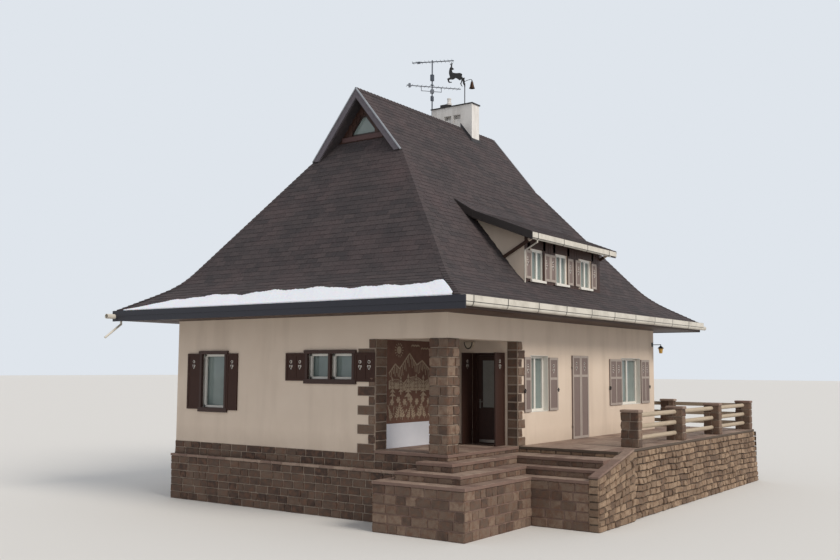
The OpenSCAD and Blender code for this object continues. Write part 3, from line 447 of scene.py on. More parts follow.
pier_stones = [
    facing(span, (pier_low[2], porch_top), (course, 0.26), corner, along, (40 + i, 50 + i), relief=0.032,
        tones=(0.15, 0.95))
    for i, (span, corner, along) in enumerate(four_sides(pier_low, pier_high, lap))
]
piece("pier_stones", pier_stones, porphyry, smooth=38)


# Porch wall: a smooth white dado below, and above it sgraffito plaster, a pale coat scratched and cut
# back to a red-brown coat. Here it is a plain ornament of peaks, firs, leaves and flowers.
# Matt red-brown and pale buff coats, a little patchy, and a cold white one rubbed smooth
red_coat = mottled("red_brown_plaster", "5a3c33", "7a5b4c", {"Roughness": 0.9}, 7.0, 6.0)
pale_coat = mottled("pale_plaster", "8f7d6a", "bcab94", {"Roughness": 0.9}, 14.0, 6.0)
white_coat = mottled("white_smooth_plaster", "ced2dc", "dfe2ea", {"Roughness": 0.6}, 3.0, 4.0)
field_low = np.array([pier_high[1] + 0.01, floor_top + 0.54])
field_high = np.array([porch_back - 0.02, floor_top + 2.385])
piece("porch_dado", [boxes([porch_left - 0.01, field_low[0], floor_top + 0.004],
    [porch_left + 0.014, field_high[0], field_low[1]])], white_coat, bevel=0.004)
piece("sgraffito_ground", [boxes([porch_left - 0.01, field_low[0], field_low[1]],
    [porch_left + 0.006, field_high[0], field_high[1]])], red_coat, bevel=0.002)


def ribbon(line, width):
    """Flat strip on the porch wall: both sides of a line of (y, z) points, half a width out along its
    normal, as a grid of two columns."""
    line = np.asarray(line, float)
    ahead = np.gradient(line, axis=0)
    side = np.stack([ahead[:, 1], -ahead[:, 0]], 1) / np.linalg.norm(ahead, axis=1)[:, None]
    reach = (np.broadcast_to(width, len(line)) / 2)[:, None] * side
    flat = np.stack([line - reach, line + reach], 1)
    points = np.concatenate([np.full((*flat.shape[:2], 1), porch_left + 0.0085), flat], 2)
    return points, [grid(1, len(line), 2)], 0.5


def star(y, z, size, petals):
    """Flower: a fan over the polar curve radius = size * (0.5 + 0.5 * |cos(petals * angle / 2)| ** 0.6)."""
    angle = np.linspace(0, 2 * np.pi, 97)
    radius = size * (0.5 + 0.5 * np.abs(np.cos(petals * angle / 2)) ** 0.6)
    ring = table(porch_left + 0.0088, y + radius * np.cos(angle), z + radius * np.sin(angle))
    points = np.concatenate([[[porch_left + 0.0088, y, z]], ring])
    turn = np.arange(1, 97)
    return points, [np.stack([np.zeros(96, int), turn, turn + 1], 1)], 0.5


def flat(outline):
    """Filled shape on the porch wall: a fan from the middle of an outline of (y, z) points, taken
    anticlockwise as seen from the porch."""
    outline = np.asarray(outline, float)
    ring = np.column_stack([np.full(len(outline), porch_left + 0.0085), outline])
    turn = np.arange(len(outline))
    fan = table(len(outline), turn, (turn + 1) % len(outline)).astype(int)
    return np.concatenate([ring, [ring.mean(0)]]), [fan], 0.5


def fir(y, z, height, rim=0.0):
    """Fir tree: a stem and five tiers, each a flat triangle with a notched foot, smaller upwards. Its
    edges move out by rim."""
    stem = 0.02 + rim
    tiers = [flat([(y - stem, z), (y + stem, z), (y + stem, z + height * 0.2), (y - stem, z + height * 0.2)])]
    for k in range(5):
        foot, reach = z + height * (0.12 + 0.17 * k) - rim, height * (0.25 - 0.04 * k) + 1.5 * rim
        notches = [(y + side * reach / 2, foot + 0.02 * (side % 2)) for side in (-2, -1, 0, 1, 2)]
        tiers.append(flat([*notches, (y, foot + height * 0.19 + 2.5 * rim)]))
    return tiers


def leaf_spray(y, z, length, lean, sense):
    """Spray: a bowed stem with a pair of pointed leaves at each seventh of its length."""
    t = np.linspace(0, 1, 24)
    line = np.stack([y + sense * length * (lean * t + 0.25 * t * t), z + length * t], 1)
    parts = [ribbon(line, 0.018)]
    for k in range(3, 24, 3):
        (a, b), size = line[k], length * 0.21 * (1.2 - t[k])
        for side in (-1, 1):
            shape = ((0, 0), (0.62, 0.12), (1, 0.7), (0.35, 0.62))
            leaf = [(a + side * size * u, b + size * v) for u, v in shape]
            parts.append(flat(leaf[::side]))
    return parts


# The ornament: peaks with hatched slopes under a sun, pale hills, firs, sprays and flowers
y0, z0 = field_low + 0.06
y1, z1 = field_high - 0.05
wide, tall = y1 - y0, z1 - z0
hills, cuts, drawing, rims, near = [], [], [], [], []
peaks = np.array([(0, 0.60), (0.10, 0.72), (0.17, 0.66), (0.33, 0.86), (0.45, 0.71), (0.54, 0.77),
    (0.70, 0.62), (1, 0.74)]) * [wide, tall] + [y0, z0]
line_y = np.linspace(y0, y1, 140)
drawing.append(ribbon(table(line_y, np.interp(line_y, *peaks.T)), 0.034))
for k in range(40):
    y = y0 + wide * (k + 0.5) / 40
    top = np.interp(y, *peaks.T) - 0.03
    fall = 0.07 + 0.16 * abs(math.sin(1.7 * k))
    drawing.append(ribbon([(y, top), (y + 0.012, top - fall / 2), (y + 0.03, top - fall)], 0.022))
sun_y, sun_z = y0 + wide * 0.16, z0 + tall * 0.90
drawing.append(star(sun_y, sun_z, 0.085, 0))
for angle in np.linspace(0, 2 * np.pi, 14, endpoint=False):
    ray = np.array([math.cos(angle), math.sin(angle)])
    drawing.append(ribbon([(sun_y, sun_z) + ray * f for f in (0.11, 0.14, 0.165)], 0.018))
for f, g in ((0.36, 0.955), (0.52, 0.92), (0.75, 0.93)):
    drift = np.linspace(0, 1, 30)
    cloud = table(y0 + wide * (f + 0.13 * drift), z0 + tall * g + 0.03 * np.abs(np.sin(3 * np.pi * drift)))
    drawing.append(ribbon(cloud, 0.030))
# Rounded hills are left pale, and lines cut through them show the red coat again
swing = np.linspace(0, np.pi, 24)
for middle, reach, foot, high in ((0.10, 0.17, 0.40, 0.13), (0.40, 0.20, 0.38, 0.18),
        (0.74, 0.22, 0.38, 0.16)):
    hill = table(middle + reach * np.cos(swing), foot + high * np.sin(swing)) * [wide, tall] + [y0, z0]
    hill[:, 0] = np.clip(hill[:, 0], y0, y1)
    hills.append(flat(hill))
    for k in range(1, 5):
        cuts.append(ribbon(hill.mean(0) + (hill[2:-2] - hill.mean(0)) * (0.2 * k), 0.014))
for f, g, size in ((0.06, 0.27, 0.50), (0.19, 0.33, 0.42), (0.31, 0.25, 0.62), (0.44, 0.34, 0.46),
        (0.56, 0.26, 0.58), (0.70, 0.33, 0.44), (0.86, 0.27, 0.56)):
    near += fir(y0 + wide * f, z0 + tall * g, size)
    rims += fir(y0 + wide * f, z0 + tall * g, size, rim=0.016)
for k in range(11):
    near += leaf_spray(y0 + wide * (k + 0.4) / 11, z0 + 0.01, 0.34 + 0.06 * (k % 3), 0.1, 1 if k % 2 else -1)
for k in range(10):
    near.append(star(y0 + wide * (k + 0.5) / 10, z0 + tall * (0.235 + 0.03 * (k % 2)), 0.075, 6))
scatter = np.random.default_rng(61).uniform(0, 1, (110, 2))
for f, g in scatter:
    y, z = y0 + wide * f, z0 + tall * 0.19 * g
    near.append(ribbon([(y, z), (y + 0.006, z + 0.03), (y + 0.016, z + 0.06)], 0.013))
# Each scrap of plaster lies a hundredth of a millimetre over the last, so that no two share a plane
for k, shape in enumerate(hills + cuts + drawing + rims + near):
    shape[0][..., 0] += 0.00001 * k
piece("sgraffito_cuts", cuts + rims, red_coat)
piece("sgraffito_drawing", hills + drawing + near, pale_coat)


# Steps: slabs of sawn porphyry on rock-faced risers, wrapped round the pier's corner in three treads.
tread_tops = [1.365, 1.187, 1.009]
# How far each step runs out in front, left of the house's corner, at its side and from the terrace
reaches = [(0.36, 0.50, 0.34, 0.70), (0.70, 0.80, 0.76, 1.05), (1.04, 1.10, 1.07, 1.40)]
step_names = ["step_upper", "step_middle", "step_lower"]
terrace_front = face + porch_depth
terrace_right = half + 2.4
slab_t = 0.055
in_front, in_left, in_side, in_toward = 0.0, 0.0, 0.0, 0.0
for number, (name, top, reach) in enumerate(zip(step_names, tread_tops, reaches)):
    front, left, side, toward = reach
    foot = tread_tops[number + 1] if number < 2 else 0.0
    riser_top = top - slab_t
    x_left, x_right = half - left, half + side
    y_front, y_toward = face - front, terrace_front - toward
    levels = (riser_top - 0.004, top + proud)
    slabs = [
        paving(x_left - nosing, x_right + nosing, y_front - nosing, face - in_front, *levels,
            front - in_front + nosing, 60 + number),
        paving(half + in_side, x_right + nosing, face - in_front, y_toward, *levels,
            side - in_side + nosing, 63 + number, rows_along_y=True),
        paving(half + in_side, terrace_right, y_toward - nosing, terrace_front - in_toward, *levels,
            0.36, 66 + number),
    ]
    if left > in_left > 0:
        slabs.append(paving(x_left - nosing, half - in_left, face - in_front, face, *levels,
            left - in_left + nosing, 69 + number, rows_along_y=True))
    piece(name + "_slabs", slabs, slab_stone, bevel=0.006)
    sides = [
        ((x_left - lap, x_right + lap), (0, y_front, 0), RIGHT),
        ((y_front - lap, y_toward), (x_right, 0, 0), INTO),
        ((x_right, terrace_right), (0, y_toward, 0), RIGHT),
        ((-face, -y_front + lap), (x_left, 0, 0), OUT),
    ]
    size = (max(0.12, min(0.2, riser_top - foot)), 0.3)
    risers = [
        facing(span, (foot, riser_top), size, corner, along, (72 + 4 * number + i, 84 + 4 * number + i),
            relief=0.022, tones=(0.15, 0.9))
        for i, (span, corner, along) in enumerate(sides)
    ]
    piece(name + "_stones", risers, porphyry, smooth=38)
    in_front, in_left, in_side, in_toward = reach


# Terrace: a leaning retaining wall of rock-faced rubble in rough courses, filled and paved with slabs,
# with a coping along its edges and a sloping cheek wall beside the steps.
batter = 0.10
lean = np.array([-batter / slab_foot, 0, 1.0])
terrace_rear = face + 12.85
terrace_left = 1.325
cheek_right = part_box("terrace_base")[1][0]
cheek_front, cheek_rear = terrace_front - reaches[2][3], terrace_front + 0.43
cheek_foot = 1.0608
# The terrace's rubble is painted paler, as painted sunlight, and its joints are raked deep and look dark
sunlit_rubble = split_stone("sunlit_painted_rubble", "5a493e", "a48d77", "7d6451")
raked_joint = mottled("raked_earthy_mortar", "463c34", "62564b", {"Roughness": 0.95}, 90.0, 3.0)
dress(raked_joint, "terrace_base")


def cheek(u, z):
    """Height on the cheek wall, squeezed under its sloping top."""
    return z * np.interp(u, [cheek_front, cheek_rear], [cheek_foot, floor_top])


def wander(u, z):
    """Height in a wall whose courses rise and fall: z plus two slow waves, still at the foot and top."""
    waves = 0.014 * np.sin(2.3 * u + 2 * z) + 0.010 * np.sin(6.7 * u - 5 * z)
    return z + waves * np.sin(np.pi * z / slab_foot)


size = (0.142, 0.25)
rough = {"joint": 0.016, "tones": (0.1, 1.0), "warp": wander}
terrace_walls = [
    facing((cheek_rear, terrace_rear + lap), (0, slab_foot), size, (terrace_right + batter, 0, 0), INTO,
        (100, 101), up=lean, relief=0.055, **rough),
    facing((-terrace_right - batter, -terrace_left), (0, slab_foot), size, (0, terrace_rear, 0), LEFT,
        (102, 103), relief=0.05, **rough),
    facing((-terrace_rear - lap, -back), (0, slab_foot), size, (terrace_left, 0, 0), OUT, (104, 105),
        relief=0.05, **rough),
    facing((cheek_front - lap, cheek_rear), (0, 1.0), (0.11, 0.25), (cheek_right, 0, 0), INTO, (106, 107),
        relief=0.045, joint=0.014, tones=(0.1, 1.0), warp=cheek),
    facing((terrace_right - lap, cheek_right + lap), (0, cheek_foot - 0.01), (0.142, 0.24),
        (0, cheek_front, 0), RIGHT, (108, 109), relief=0.03, joint=0.014, tones=(0.1, 0.8)),
    facing((-terrace_front, -cheek_front + lap), (0, 0.99), (0.155, 0.3), (terrace_right, 0, 0), OUT,
        (114, 115), relief=0.024, tones=(0.1, 0.8), warp=lambda u, z: cheek(-u, z)),
    facing((half, terrace_right), (tread_tops[0] + proud, slab_foot), (0.08, 0.3), (0, terrace_front, 0),
        RIGHT, (116, 117), relief=0.02, tones=(0.1, 0.9)),
]
piece("terrace_stones", terrace_walls, sunlit_rubble, smooth=38)
coping_x = terrace_right - 0.37
front_edge, rear_edge = terrace_front - nosing, terrace_rear + nosing
levels = (slab_foot - 0.002, floor_top + proud)
terrace_slabs = [
    paving(half, coping_x, front_edge, back, slab_foot, levels[1], 0.45, 110, rows_along_y=True),
    paving(coping_x, terrace_right + nosing, front_edge, rear_edge, *levels, 0.4, 111, rows_along_y=True),
    paving(terrace_left - nosing, coping_x, back, rear_edge, *levels, 0.45, 112),
]
piece("terrace_slabs", terrace_slabs, slab_stone, bevel=0.006)
# Five coping slabs climb the cheek wall, 0.24 m to the metre
climb = 1.845 / 5 * np.array([0, 1, 0.24])
start = np.array([terrace_right - 0.012, cheek_front - 0.015, cheek_foot - 0.004])
coping = blocks(start + np.arange(5)[:, None] * climb, [[RIGHT * 0.224, climb * 0.985, UP * 0.045]] * 5, 113)
piece("cheek_coping", [coping], slab_stone, bevel=0.006)


# Terrace posts: flat piers of four courses of split stones, each under a rough overhanging slab.
post_w, post_d, post_h, cap_h, cap_over = 0.40, 0.20, 0.84, 0.055, 0.03
post_y = terrace_front + 1.215 + np.arange(4) * 2.815
post_x = terrace_right - 0.02 - post_w
posts = [(post_x, y) for y in post_y] + [(half - 0.35, post_y[3]), (terrace_left + 0.02, post_y[3])]
cap_top = floor_top + post_h
cap_foot = cap_top - cap_h
post_stones, post_caps = [], []
for number, (x, y) in enumerate(posts):
    for i, (span, corner, along) in enumerate(four_sides((x, y), (x + post_w, y + post_d), 0.012)):
        seeds = (120 + 4 * number + i, 150 + 4 * number + i)
        post_stones.append(facing(span, (floor_top, cap_foot), (0.196, 0.24), corner, along, seeds,
            relief=0.024, tones=(0.1, 0.9)))
    post_caps.append(boxes([x - cap_over, y - cap_over, cap_foot - 0.004],
        [x + post_w + cap_over, y + post_d + cap_over, cap_top + 0.006], number))
piece("post_stones", post_stones, porphyry, smooth=38)
piece("post_caps", post_caps, slab_stone, bevel=0.012)


# Terrace rails: larch poles split in half, stripped of bark and weathered pale grey-brown, let into
# the posts with the round side out.
# Bare larch: matt and silvery, with long pale fibres
weathered = mottled("weathered_larch", "8c7d6c", "c9bba6", {"Roughness": 0.8, "Specular IOR Level": 0.25},
    2.5, 5.0, 0.6, stretch=(24.0, 1.6, 24.0), bump=(0.6, 0.004))
dress(weathered, "terrace_rails")


# Eaves: boxed in with tongued boards stained dark brown, and a fascia of two boards with a groove
# between them, painted blue-black on the front and the rear.
def stained(name, dark, light, stretch, gloss=0.55):
    """Stained boards: fibres are noise drawn out along the board, so many times longer than wide."""
    material, tree, shader, place = finish(name, {"Roughness": gloss, "Specular IOR Level": 0.4})
    fibre = noise(tree, place, 3.0, 6.0, 0.62, stretch)
    shade = remap(tree, own_tone(tree), 0.0, 1.0, 0.88, 1.12)
    coat(tree, shader, blend(tree, 1.0, blend(tree, fibre, dark, light), shade, "MULTIPLY"), fibre,
        (0.35, 0.002))
    return material


# Fibres 1.5 to 3 mm wide are drawn about 12 mm wide, so that they show from the road
along_x, along_y, upright = (2.0, 26.0, 26.0), (26.0, 2.0, 26.0), (26.0, 26.0, 2.0)
brown_x = stained("brown_stained_boards_along_x", "2e1c14", "4a3022", along_x)
brown_y = stained("brown_stained_boards_along_y", "2e1c14", "4a3022", along_y)
brown_z = stained("brown_stained_boards_upright", "2a1914", "472c22", upright)
black_stain = stained("black_stained_verge_boards", "1b1716", "302826", along_x)
fascia_paint = stained("blue_black_fascia", "1d1e26", "2c2d37", along_x, 0.5)
eaves_low, eaves_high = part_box("eaves")
dress(brown_y, "eaves", "attic_floor")
board, gap = 0.115, 0.006
eave_x, eave_z = 5.155, 4.665


def soffit(inner, outer, low, high, axis):
    """Boards side by side under an overhang, from the wall line to the edge, as boxes along one axis."""
    count = int((outer - inner) / board)
    starts = inner + np.arange(count) * board
    lows = table(starts, low, eaves_low[2] - 0.006)
    highs = table(np.minimum(starts + board - gap, outer), high, eaves_low[2] + 0.004)
    order = [0, 1, 2] if axis == "y" else [1, 0, 2]
    return boxes(lows[:, order], highs[:, order], 200 + count)


ends = (eaves_low[1], eaves_high[1])
side_boards = [soffit(half + 0.01, eave_x, *ends, "y"), soffit(-eave_x, -half - 0.01, *ends, "y")]
end_boards = [soffit(ends[0], face - 0.01, -half, half, "x"), soffit(back + 0.01, ends[1], -half, half, "x")]
piece("soffit_boards_long_sides", side_boards, brown_y, bevel=0.002)
piece("soffit_boards_ends", end_boards, brown_x, bevel=0.002)
groove_z = (eaves_low[2] + eaves_high[2]) / 2 - 0.01
fascia_rows = []
for y, sign, x_end in ((ends[0], -1, eaves_high[0] + 0.01), (ends[1], 1, eave_x + 0.01)):
    for low, high, thick in ((eaves_low[2] - 0.022, groove_z, 0.014), (groove_z - 0.002, eave_z, 0.022)):
        fascia_rows.append(boxes([-x_end, y - sign * 0.01, low], [x_end, y + sign * thick, high]))
piece("fascia_boards", fascia_rows, fascia_paint, bevel=0.003)


# Roof: bitumen shingles with a mineral grit of dark brown-grey, nailed in courses on the boarded
# slopes. Each tab laps the next course; folded caps close the hips and the ridge.
overhang, gable_h = 1.15, 1.77
eave_front, eave_rear = face - overhang, back + overhang
ridge_z = 10.340471
gable_z = ridge_z - gable_h
verge_front, verge_rear = face + 2.0, back - 2.43
kick_slope = math.tan(math.radians(30))
side_steep = math.tan(math.radians(51))
side_kick, front_kick, rear_kick, ease = 1.05, 1.12, 1.49, 0.4


def run_in(rise, kick, steep):
    """Run from the eaves to a rise. The slope starts at 30 degrees and turns to `steep` at the kick
    round a parabola whose control points lie `ease` either side, so the run solves a quadratic."""
    start = kick - ease * math.cos(math.radians(30))
    end = kick + ease * math.cos(math.atan(steep))
    z0, z1, z2 = start * kick_slope, kick * kick_slope, kick * kick_slope + (end - kick) * steep
    a, b = z0 - 2 * z1 + z2, 2 * (z1 - z0)
    t = (np.sqrt(np.maximum(b * b - 4 * a * (z0 - rise), 0)) - b) / (2 * a)
    curve = (1 - t) ** 2 * start + 2 * t * (1 - t) * kick + t * t * end
    return np.where(rise <= z0, rise / kick_slope, np.where(rise >= z2, kick + (rise - z1) / steep, curve))


gable_rise = gable_z - eave_z
rises = np.array([0, 0.2, 0.4, 0.55, 0.7, 0.85, 1.0, 1.2, gable_rise])
front_steep = (gable_rise - front_kick * kick_slope) / (verge_front - eave_front - front_kick)
rear_steep = (gable_rise - rear_kick * kick_slope) / (eave_rear - verge_rear - rear_kick)
hip_x = eave_x - run_in(rises, side_kick, side_steep)
hip_front = eave_front + run_in(rises, front_kick, front_steep)
hip_rear = eave_rear - run_in(rises, rear_kick, rear_steep)

# Grit shingles: matt dark brown-grey, each tab a little apart in shade, with reddish worn patches
shingle, tree, shader, place = finish("grit_shingles", {"Roughness": 0.9, "Specular IOR Level": 0.25})
worn = remap(tree, noise(tree, place, 0.9, 7.0, 0.65), 0.45, 0.75, 0.0, 0.6)
speckle = remap(tree, noise(tree, place, 26.0, 5.0, 0.7), 0.3, 0.7, 0.74, 1.26)
colour = blend(tree, worn, blend(tree, own_tone(tree), "3d393b", "4b4445"), "57494a")
colour = blend(tree, 1.0, colour, speckle, "MULTIPLY")
coat(tree, shader, colour, noise(tree, place, 240.0), (0.6, 0.003))
dress(shingle, "roof_front", "roof_rear", "roof_left", "roof_right", "dormer_roof")
exposure, tab, slot_gap = 0.143, 0.333, 0.008


def shingles(origin, along, inward, run, rise, low, high, seed, skip=None):
    """Tabs in courses over a slope. The slope's section is the line of (run, rise) points from the
    eaves; low and high are where it ends along the eaves at each of them. A tab is a wedge, raised at
    its lower edge, with its corners clipped to the slope's ends."""
    random = np.random.default_rng(seed)
    length = np.concatenate([[0], np.cumsum(np.hypot(np.diff(run), np.diff(rise)))])
    courses = int(length[-1] / exposure) + 1
    first, last = math.floor(min(low) / tab) - 1, math.ceil(max(high) / tab) + 1
    row, column = np.meshgrid(np.arange(courses), np.arange(first, last), indexing="ij")
    row, column = row.ravel(), column.ravel()
    left = column * tab + (row % 2) * tab / 2 + random.uniform(-0.03, 0.03, courses)[row]
    right = left + tab - slot_gap
    bottom = row * exposure
    top = np.minimum(bottom + exposure * 1.12, length[-1])
    limits = [np.interp(s, length, v) for s in (bottom, top) for v in (low, high)]
    ll, lr = np.clip(left, *limits[:2]), np.clip(right, *limits[:2])
    ul, ur = np.clip(left, *limits[2:]), np.clip(right, *limits[2:])
    keep = (lr - ll > 0.02) & (top - bottom > 0.02)
    if skip is not None:
        keep &= ~skip((left + right) / 2, np.interp((bottom + top) / 2, length, run))
    ll, lr, ul, ur, bottom, top = (v[keep] for v in (ll, lr, ul, ur, bottom, top))
    count = len(ll)

    def at(u, s):
        return (origin + u[:, None] * along + np.interp(s, length, run)[:, None] * inward
            + np.interp(s, length, rise)[:, None] * UP)

    middle = (bottom + top) / 2
    climb = at(ll, middle + 0.02) - at(ll, middle - 0.02)
    normal = np.cross(along, climb / np.linalg.norm(climb, axis=1)[:, None])
    lift = (0.008 + random.uniform(0, 0.004, count)[:, None]) * normal
    sunk = 0.003 * normal
    a, b, c, d = at(ll, bottom), at(lr, bottom), at(ur, top), at(ul, top)
    points = np.stack([a - sunk, b - sunk, b + lift, a + lift, c + sunk, d + sunk], 1)
    faces = [repeat([[0, 1, 2, 3], [3, 2, 4, 5]], count, 6), repeat([[0, 3, 5], [1, 4, 2]], count, 6)]
    return points, faces, random.uniform(0, 1, (count, 1)) * np.ones((1, 6))


dormer_low, dormer_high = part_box("dormer_walls")
dormer_roof_low, dormer_roof_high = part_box("dormer_roof")
dormer_tail = 2.42


def under_dormer(u, run):
    """Where the dormer stands on the slope, so that no tab shows inside it."""
    x = eave_x - run
    return (u > dormer_low[1] + 0.04) & (u < dormer_high[1] - 0.04) & (x > dormer_tail) & (x < half - 0.06)


# The ends' slopes run on 0.3 m under the side slopes, to the small gables' walls
gable_set, roof_t = 0.30, 0.30
side_run, side_rises = eave_x - np.append(hip_x, 0.0), np.append(rises, ridge_z - eave_z)
side_front, side_rear = np.append(hip_front, verge_front), np.append(hip_rear, verge_rear)
end_tops = gable_rise + gable_set * np.array([front_steep, rear_steep])
under_x = (ridge_z - roof_t - eave_z - end_tops) / side_steep
front_line = np.append(hip_front, verge_front + gable_set) - eave_front
rear_line = eave_rear - np.append(hip_rear, verge_rear - gable_set)
front_side, rear_side = (np.append(hip_x, x) for x in under_x)
front_rises, rear_rises = (np.append(rises, z) for z in end_tops)
slopes = {
    "right": ((eave_x, 0, eave_z), INTO, LEFT, side_run, side_rises, side_front, side_rear, 1, under_dormer),
    "left": ((-eave_x, 0, eave_z), OUT, RIGHT, side_run, side_rises, -side_rear, -side_front, 2),
    "front": ((0, eave_front, eave_z), RIGHT, INTO, front_line, front_rises, -front_side, front_side, 3),
    "rear": ((0, eave_rear, eave_z), LEFT, OUT, rear_line, rear_rises, -rear_side, rear_side, 4),
}
for name, slope in slopes.items():
    piece("shingles_" + name, [shingles(*slope)], shingle)
# The dormer's roof turns steeper 1.525 m behind its eaves
dormer_pitch, dormer_top = 21.6, 6.448
dormer_run = np.array([0, 1.525, dormer_roof_high[0] - dormer_roof_low[0]])
dormer_rise = np.cumsum(np.diff(dormer_run, prepend=0) * np.tan(np.radians([0, dormer_pitch, 32])))
dormer_eave = np.array([dormer_roof_high[0], 0, dormer_top])
dormer_ends = (np.full(3, dormer_roof_low[1]), np.full(3, dormer_roof_high[1]))
dormer_tabs = shingles(dormer_eave, INTO, LEFT, dormer_run, dormer_rise, *dormer_ends, 5)
piece("shingles_dormer", [dormer_tabs], shingle)


def caps(line, left, right, seed):
    """Folded caps that overlap along a line: three points across, left wing, fold and right wing, at
    the raised lower edge and at the upper edge that the next cap covers."""
    count = len(line) - 1
    row = np.stack([left, line, right], 1)
    low, high = row[:-1], row[1:] + 0.12 * (row[1:] - row[:-1])
    points = np.concatenate([low, low + 0.026 * UP, high + 0.010 * UP], 1)
    faces = [[3, 4, 7, 6], [4, 5, 8, 7], [0, 1, 4, 3], [1, 2, 5, 4]]
    tone = np.random.default_rng(seed).uniform(0.3, 1, (count, 1)) * np.ones((1, 9))
    return points, [repeat(faces, count, 9)], tone


wing = 0.135
hip_caps = []
for sx in (1, -1):
    for ys, sy in ((hip_front, 1), (hip_rear, -1)):
        corner = table(sx * hip_x, ys, eave_z + rises)
        length = np.concatenate([[0], np.cumsum(np.linalg.norm(np.diff(corner, axis=0), axis=1))])
        steps = np.arange(0, length[-1], exposure)
        line = table(*(np.interp(steps, length, corner[:, i]) for i in range(3)))
        on_side, on_end = line + [0, sy * wing, 0], line + [-sx * wing, 0, 0]
        pair = (on_end, on_side) if sx * sy > 0 else (on_side, on_end)
        hip_caps.append(caps(line, *pair, 210 + sx + sy))
line = table(0, np.arange(verge_front, verge_rear, exposure), ridge_z)
ridge_wing = wing * 0.65
drop = -ridge_wing * side_steep
hip_caps.append(caps(line, line + [-ridge_wing, 0, drop], line + [ridge_wing, 0, drop], 215))
piece("hip_and_ridge_caps", hip_caps, shingle)

# Old snow lies along the shaded front eaves. Its section is a low cushion on the 30 degree slope, and
# its upper edge wanders. Towards the left end it melts to a thin line, and the right end follows the hip.
snow = mottled("old_snow", "dfe6f3", "f4f6fb", {"Roughness": 0.75, "Subsurface Weight": 0.15}, 30.0, 5.0,
    bump=(0.4, 0.01))
snow_left, snow_right, snow_count = -4.85, 5.0, 300
u = np.linspace(snow_left, snow_right, snow_count)
random = np.random.default_rng(70)
wobble = 0.05 * np.sin(1.3 * u + 0.4) + 0.035 * np.sin(3.7 * u + 2.0) + 0.02 * np.sin(9.1 * u + 1.0)
wobble += random.uniform(-0.012, 0.012, snow_count)
spread = np.clip((u - snow_left) / 2.6, 0, 1) ** 0.8
reach = np.maximum(0.03, (0.56 + wobble) * spread)
across = np.array([0, 0, 0.06, 0.2, 0.4, 0.6, 0.8, 0.94, 1.0])
puff = np.array([-0.035, 0.02, 0.045, 0.055, 0.055, 0.05, 0.042, 0.028, 0.0])
lip_over = 0.034
run = (reach + lip_over) * across[:, None] - lip_over
run[0] = 0.0
lift = puff[:, None] * (0.45 + 0.55 * spread) * (1 + 2 * wobble)
lift += random.uniform(-0.004, 0.004, (9, snow_count))
on_slope = np.maximum(run, 0)
hip_draw = 1.05
shift = hip_draw * on_slope * (u - snow_left) / (snow_right - snow_left)
points = np.stack([u - shift, eave_front + run, eave_z + on_slope * kick_slope + lift], 2)
piece("eaves_snow", [(points, [grid(1, 9, snow_count)], 0.5)], snow, smooth=60)


# Small gables at both ends of the ridge: upright boards stained dark, a light of trapezium shape, and
# weathered bargeboards with a metal drip strip over them.
# Bargeboards bleached to a violet grey, and sills of a faded purple-brown
barge = stained("weathered_bargeboards", "4c474d", "7b757d", (5.0, 26.0, 5.0), 0.7)
sill_stain = stained("faded_purple_brown_sill", "42302f", "5f4746", along_x, 0.7)
dress(brown_z, "gablet_walls")
dress(barge, "bargeboards")
gablet_low, gablet_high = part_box("gablet_walls")
light_low, light_high, light_w, light_top_w = gable_z + 0.63, gable_z + 1.11, 0.86, 0.18
board_w = 0.12
middles = np.arange(-1.44, 1.44, board_w) + board_w / 2
lefts, rights = middles - board_w / 2 + 0.004, middles + board_w / 2 - 0.004
furthest, nearest = np.maximum(-lefts, rights), np.minimum(np.abs(lefts), np.abs(rights))
feet = gable_z + 0.05
tops = ridge_z - 0.26 - furthest * side_steep
at_light = furthest < light_w / 2 + 0.03
slant = np.interp(nearest, [light_top_w / 2, light_w / 2], [light_high, light_low])
below = np.where(at_light, light_low - 0.03, tops)
above = np.where(np.abs(middles) < 0.1, light_high, slant) + 0.04
lower, upper = below > feet + 0.05, at_light & (tops > slant + 0.08)
light_sills = []
for y, sign, end in ((gablet_low[1], -1, "front"), (gablet_high[1], 1, "rear")):
    faced = y + sign * 0.018
    boards = [boxes(table(lefts, y, feet)[lower], table(rights, faced, below)[lower], 220),
        boxes(table(lefts, y, above)[upper], table(rights, faced, tops)[upper], 221)]
    piece(f"gable_boards_{end}", boards, brown_z, bevel=0.003)
    light_sills.append(boxes([-0.66, y, light_low - 0.15], [0.66, y + sign * 0.06, light_low - 0.03]))
piece("gable_light_sills", light_sills, sill_stain, bevel=0.006)

# Zinc sheet: dull grey, with soft blotches where it has weathered
zinc = mottled("weathered_zinc", "85888d", "aeb0b3", {"Metallic": 0.8, "Roughness": 0.5}, 6.0, 5.0)
side_fall = np.array([1, 0, -side_steep]) / math.hypot(1, side_steep)
verge_strips = []
for y in (verge_front - 0.055, verge_rear + 0.005):
    for sx in (1, -1):
        fall = side_fall * [sx, 1, 1] * (gable_h / -side_fall[2])
        thick = 0.03 * np.array([sx * side_fall[2], 0, -side_fall[0]])
        across = INTO * 0.05
        edges = [across, fall, thick] if sx > 0 else [fall, across, thick]
        verge_strips.append(blocks([[0, y, ridge_z + 0.016]], [edges]))
piece("verge_strips", verge_strips, zinc, bevel=0.003)


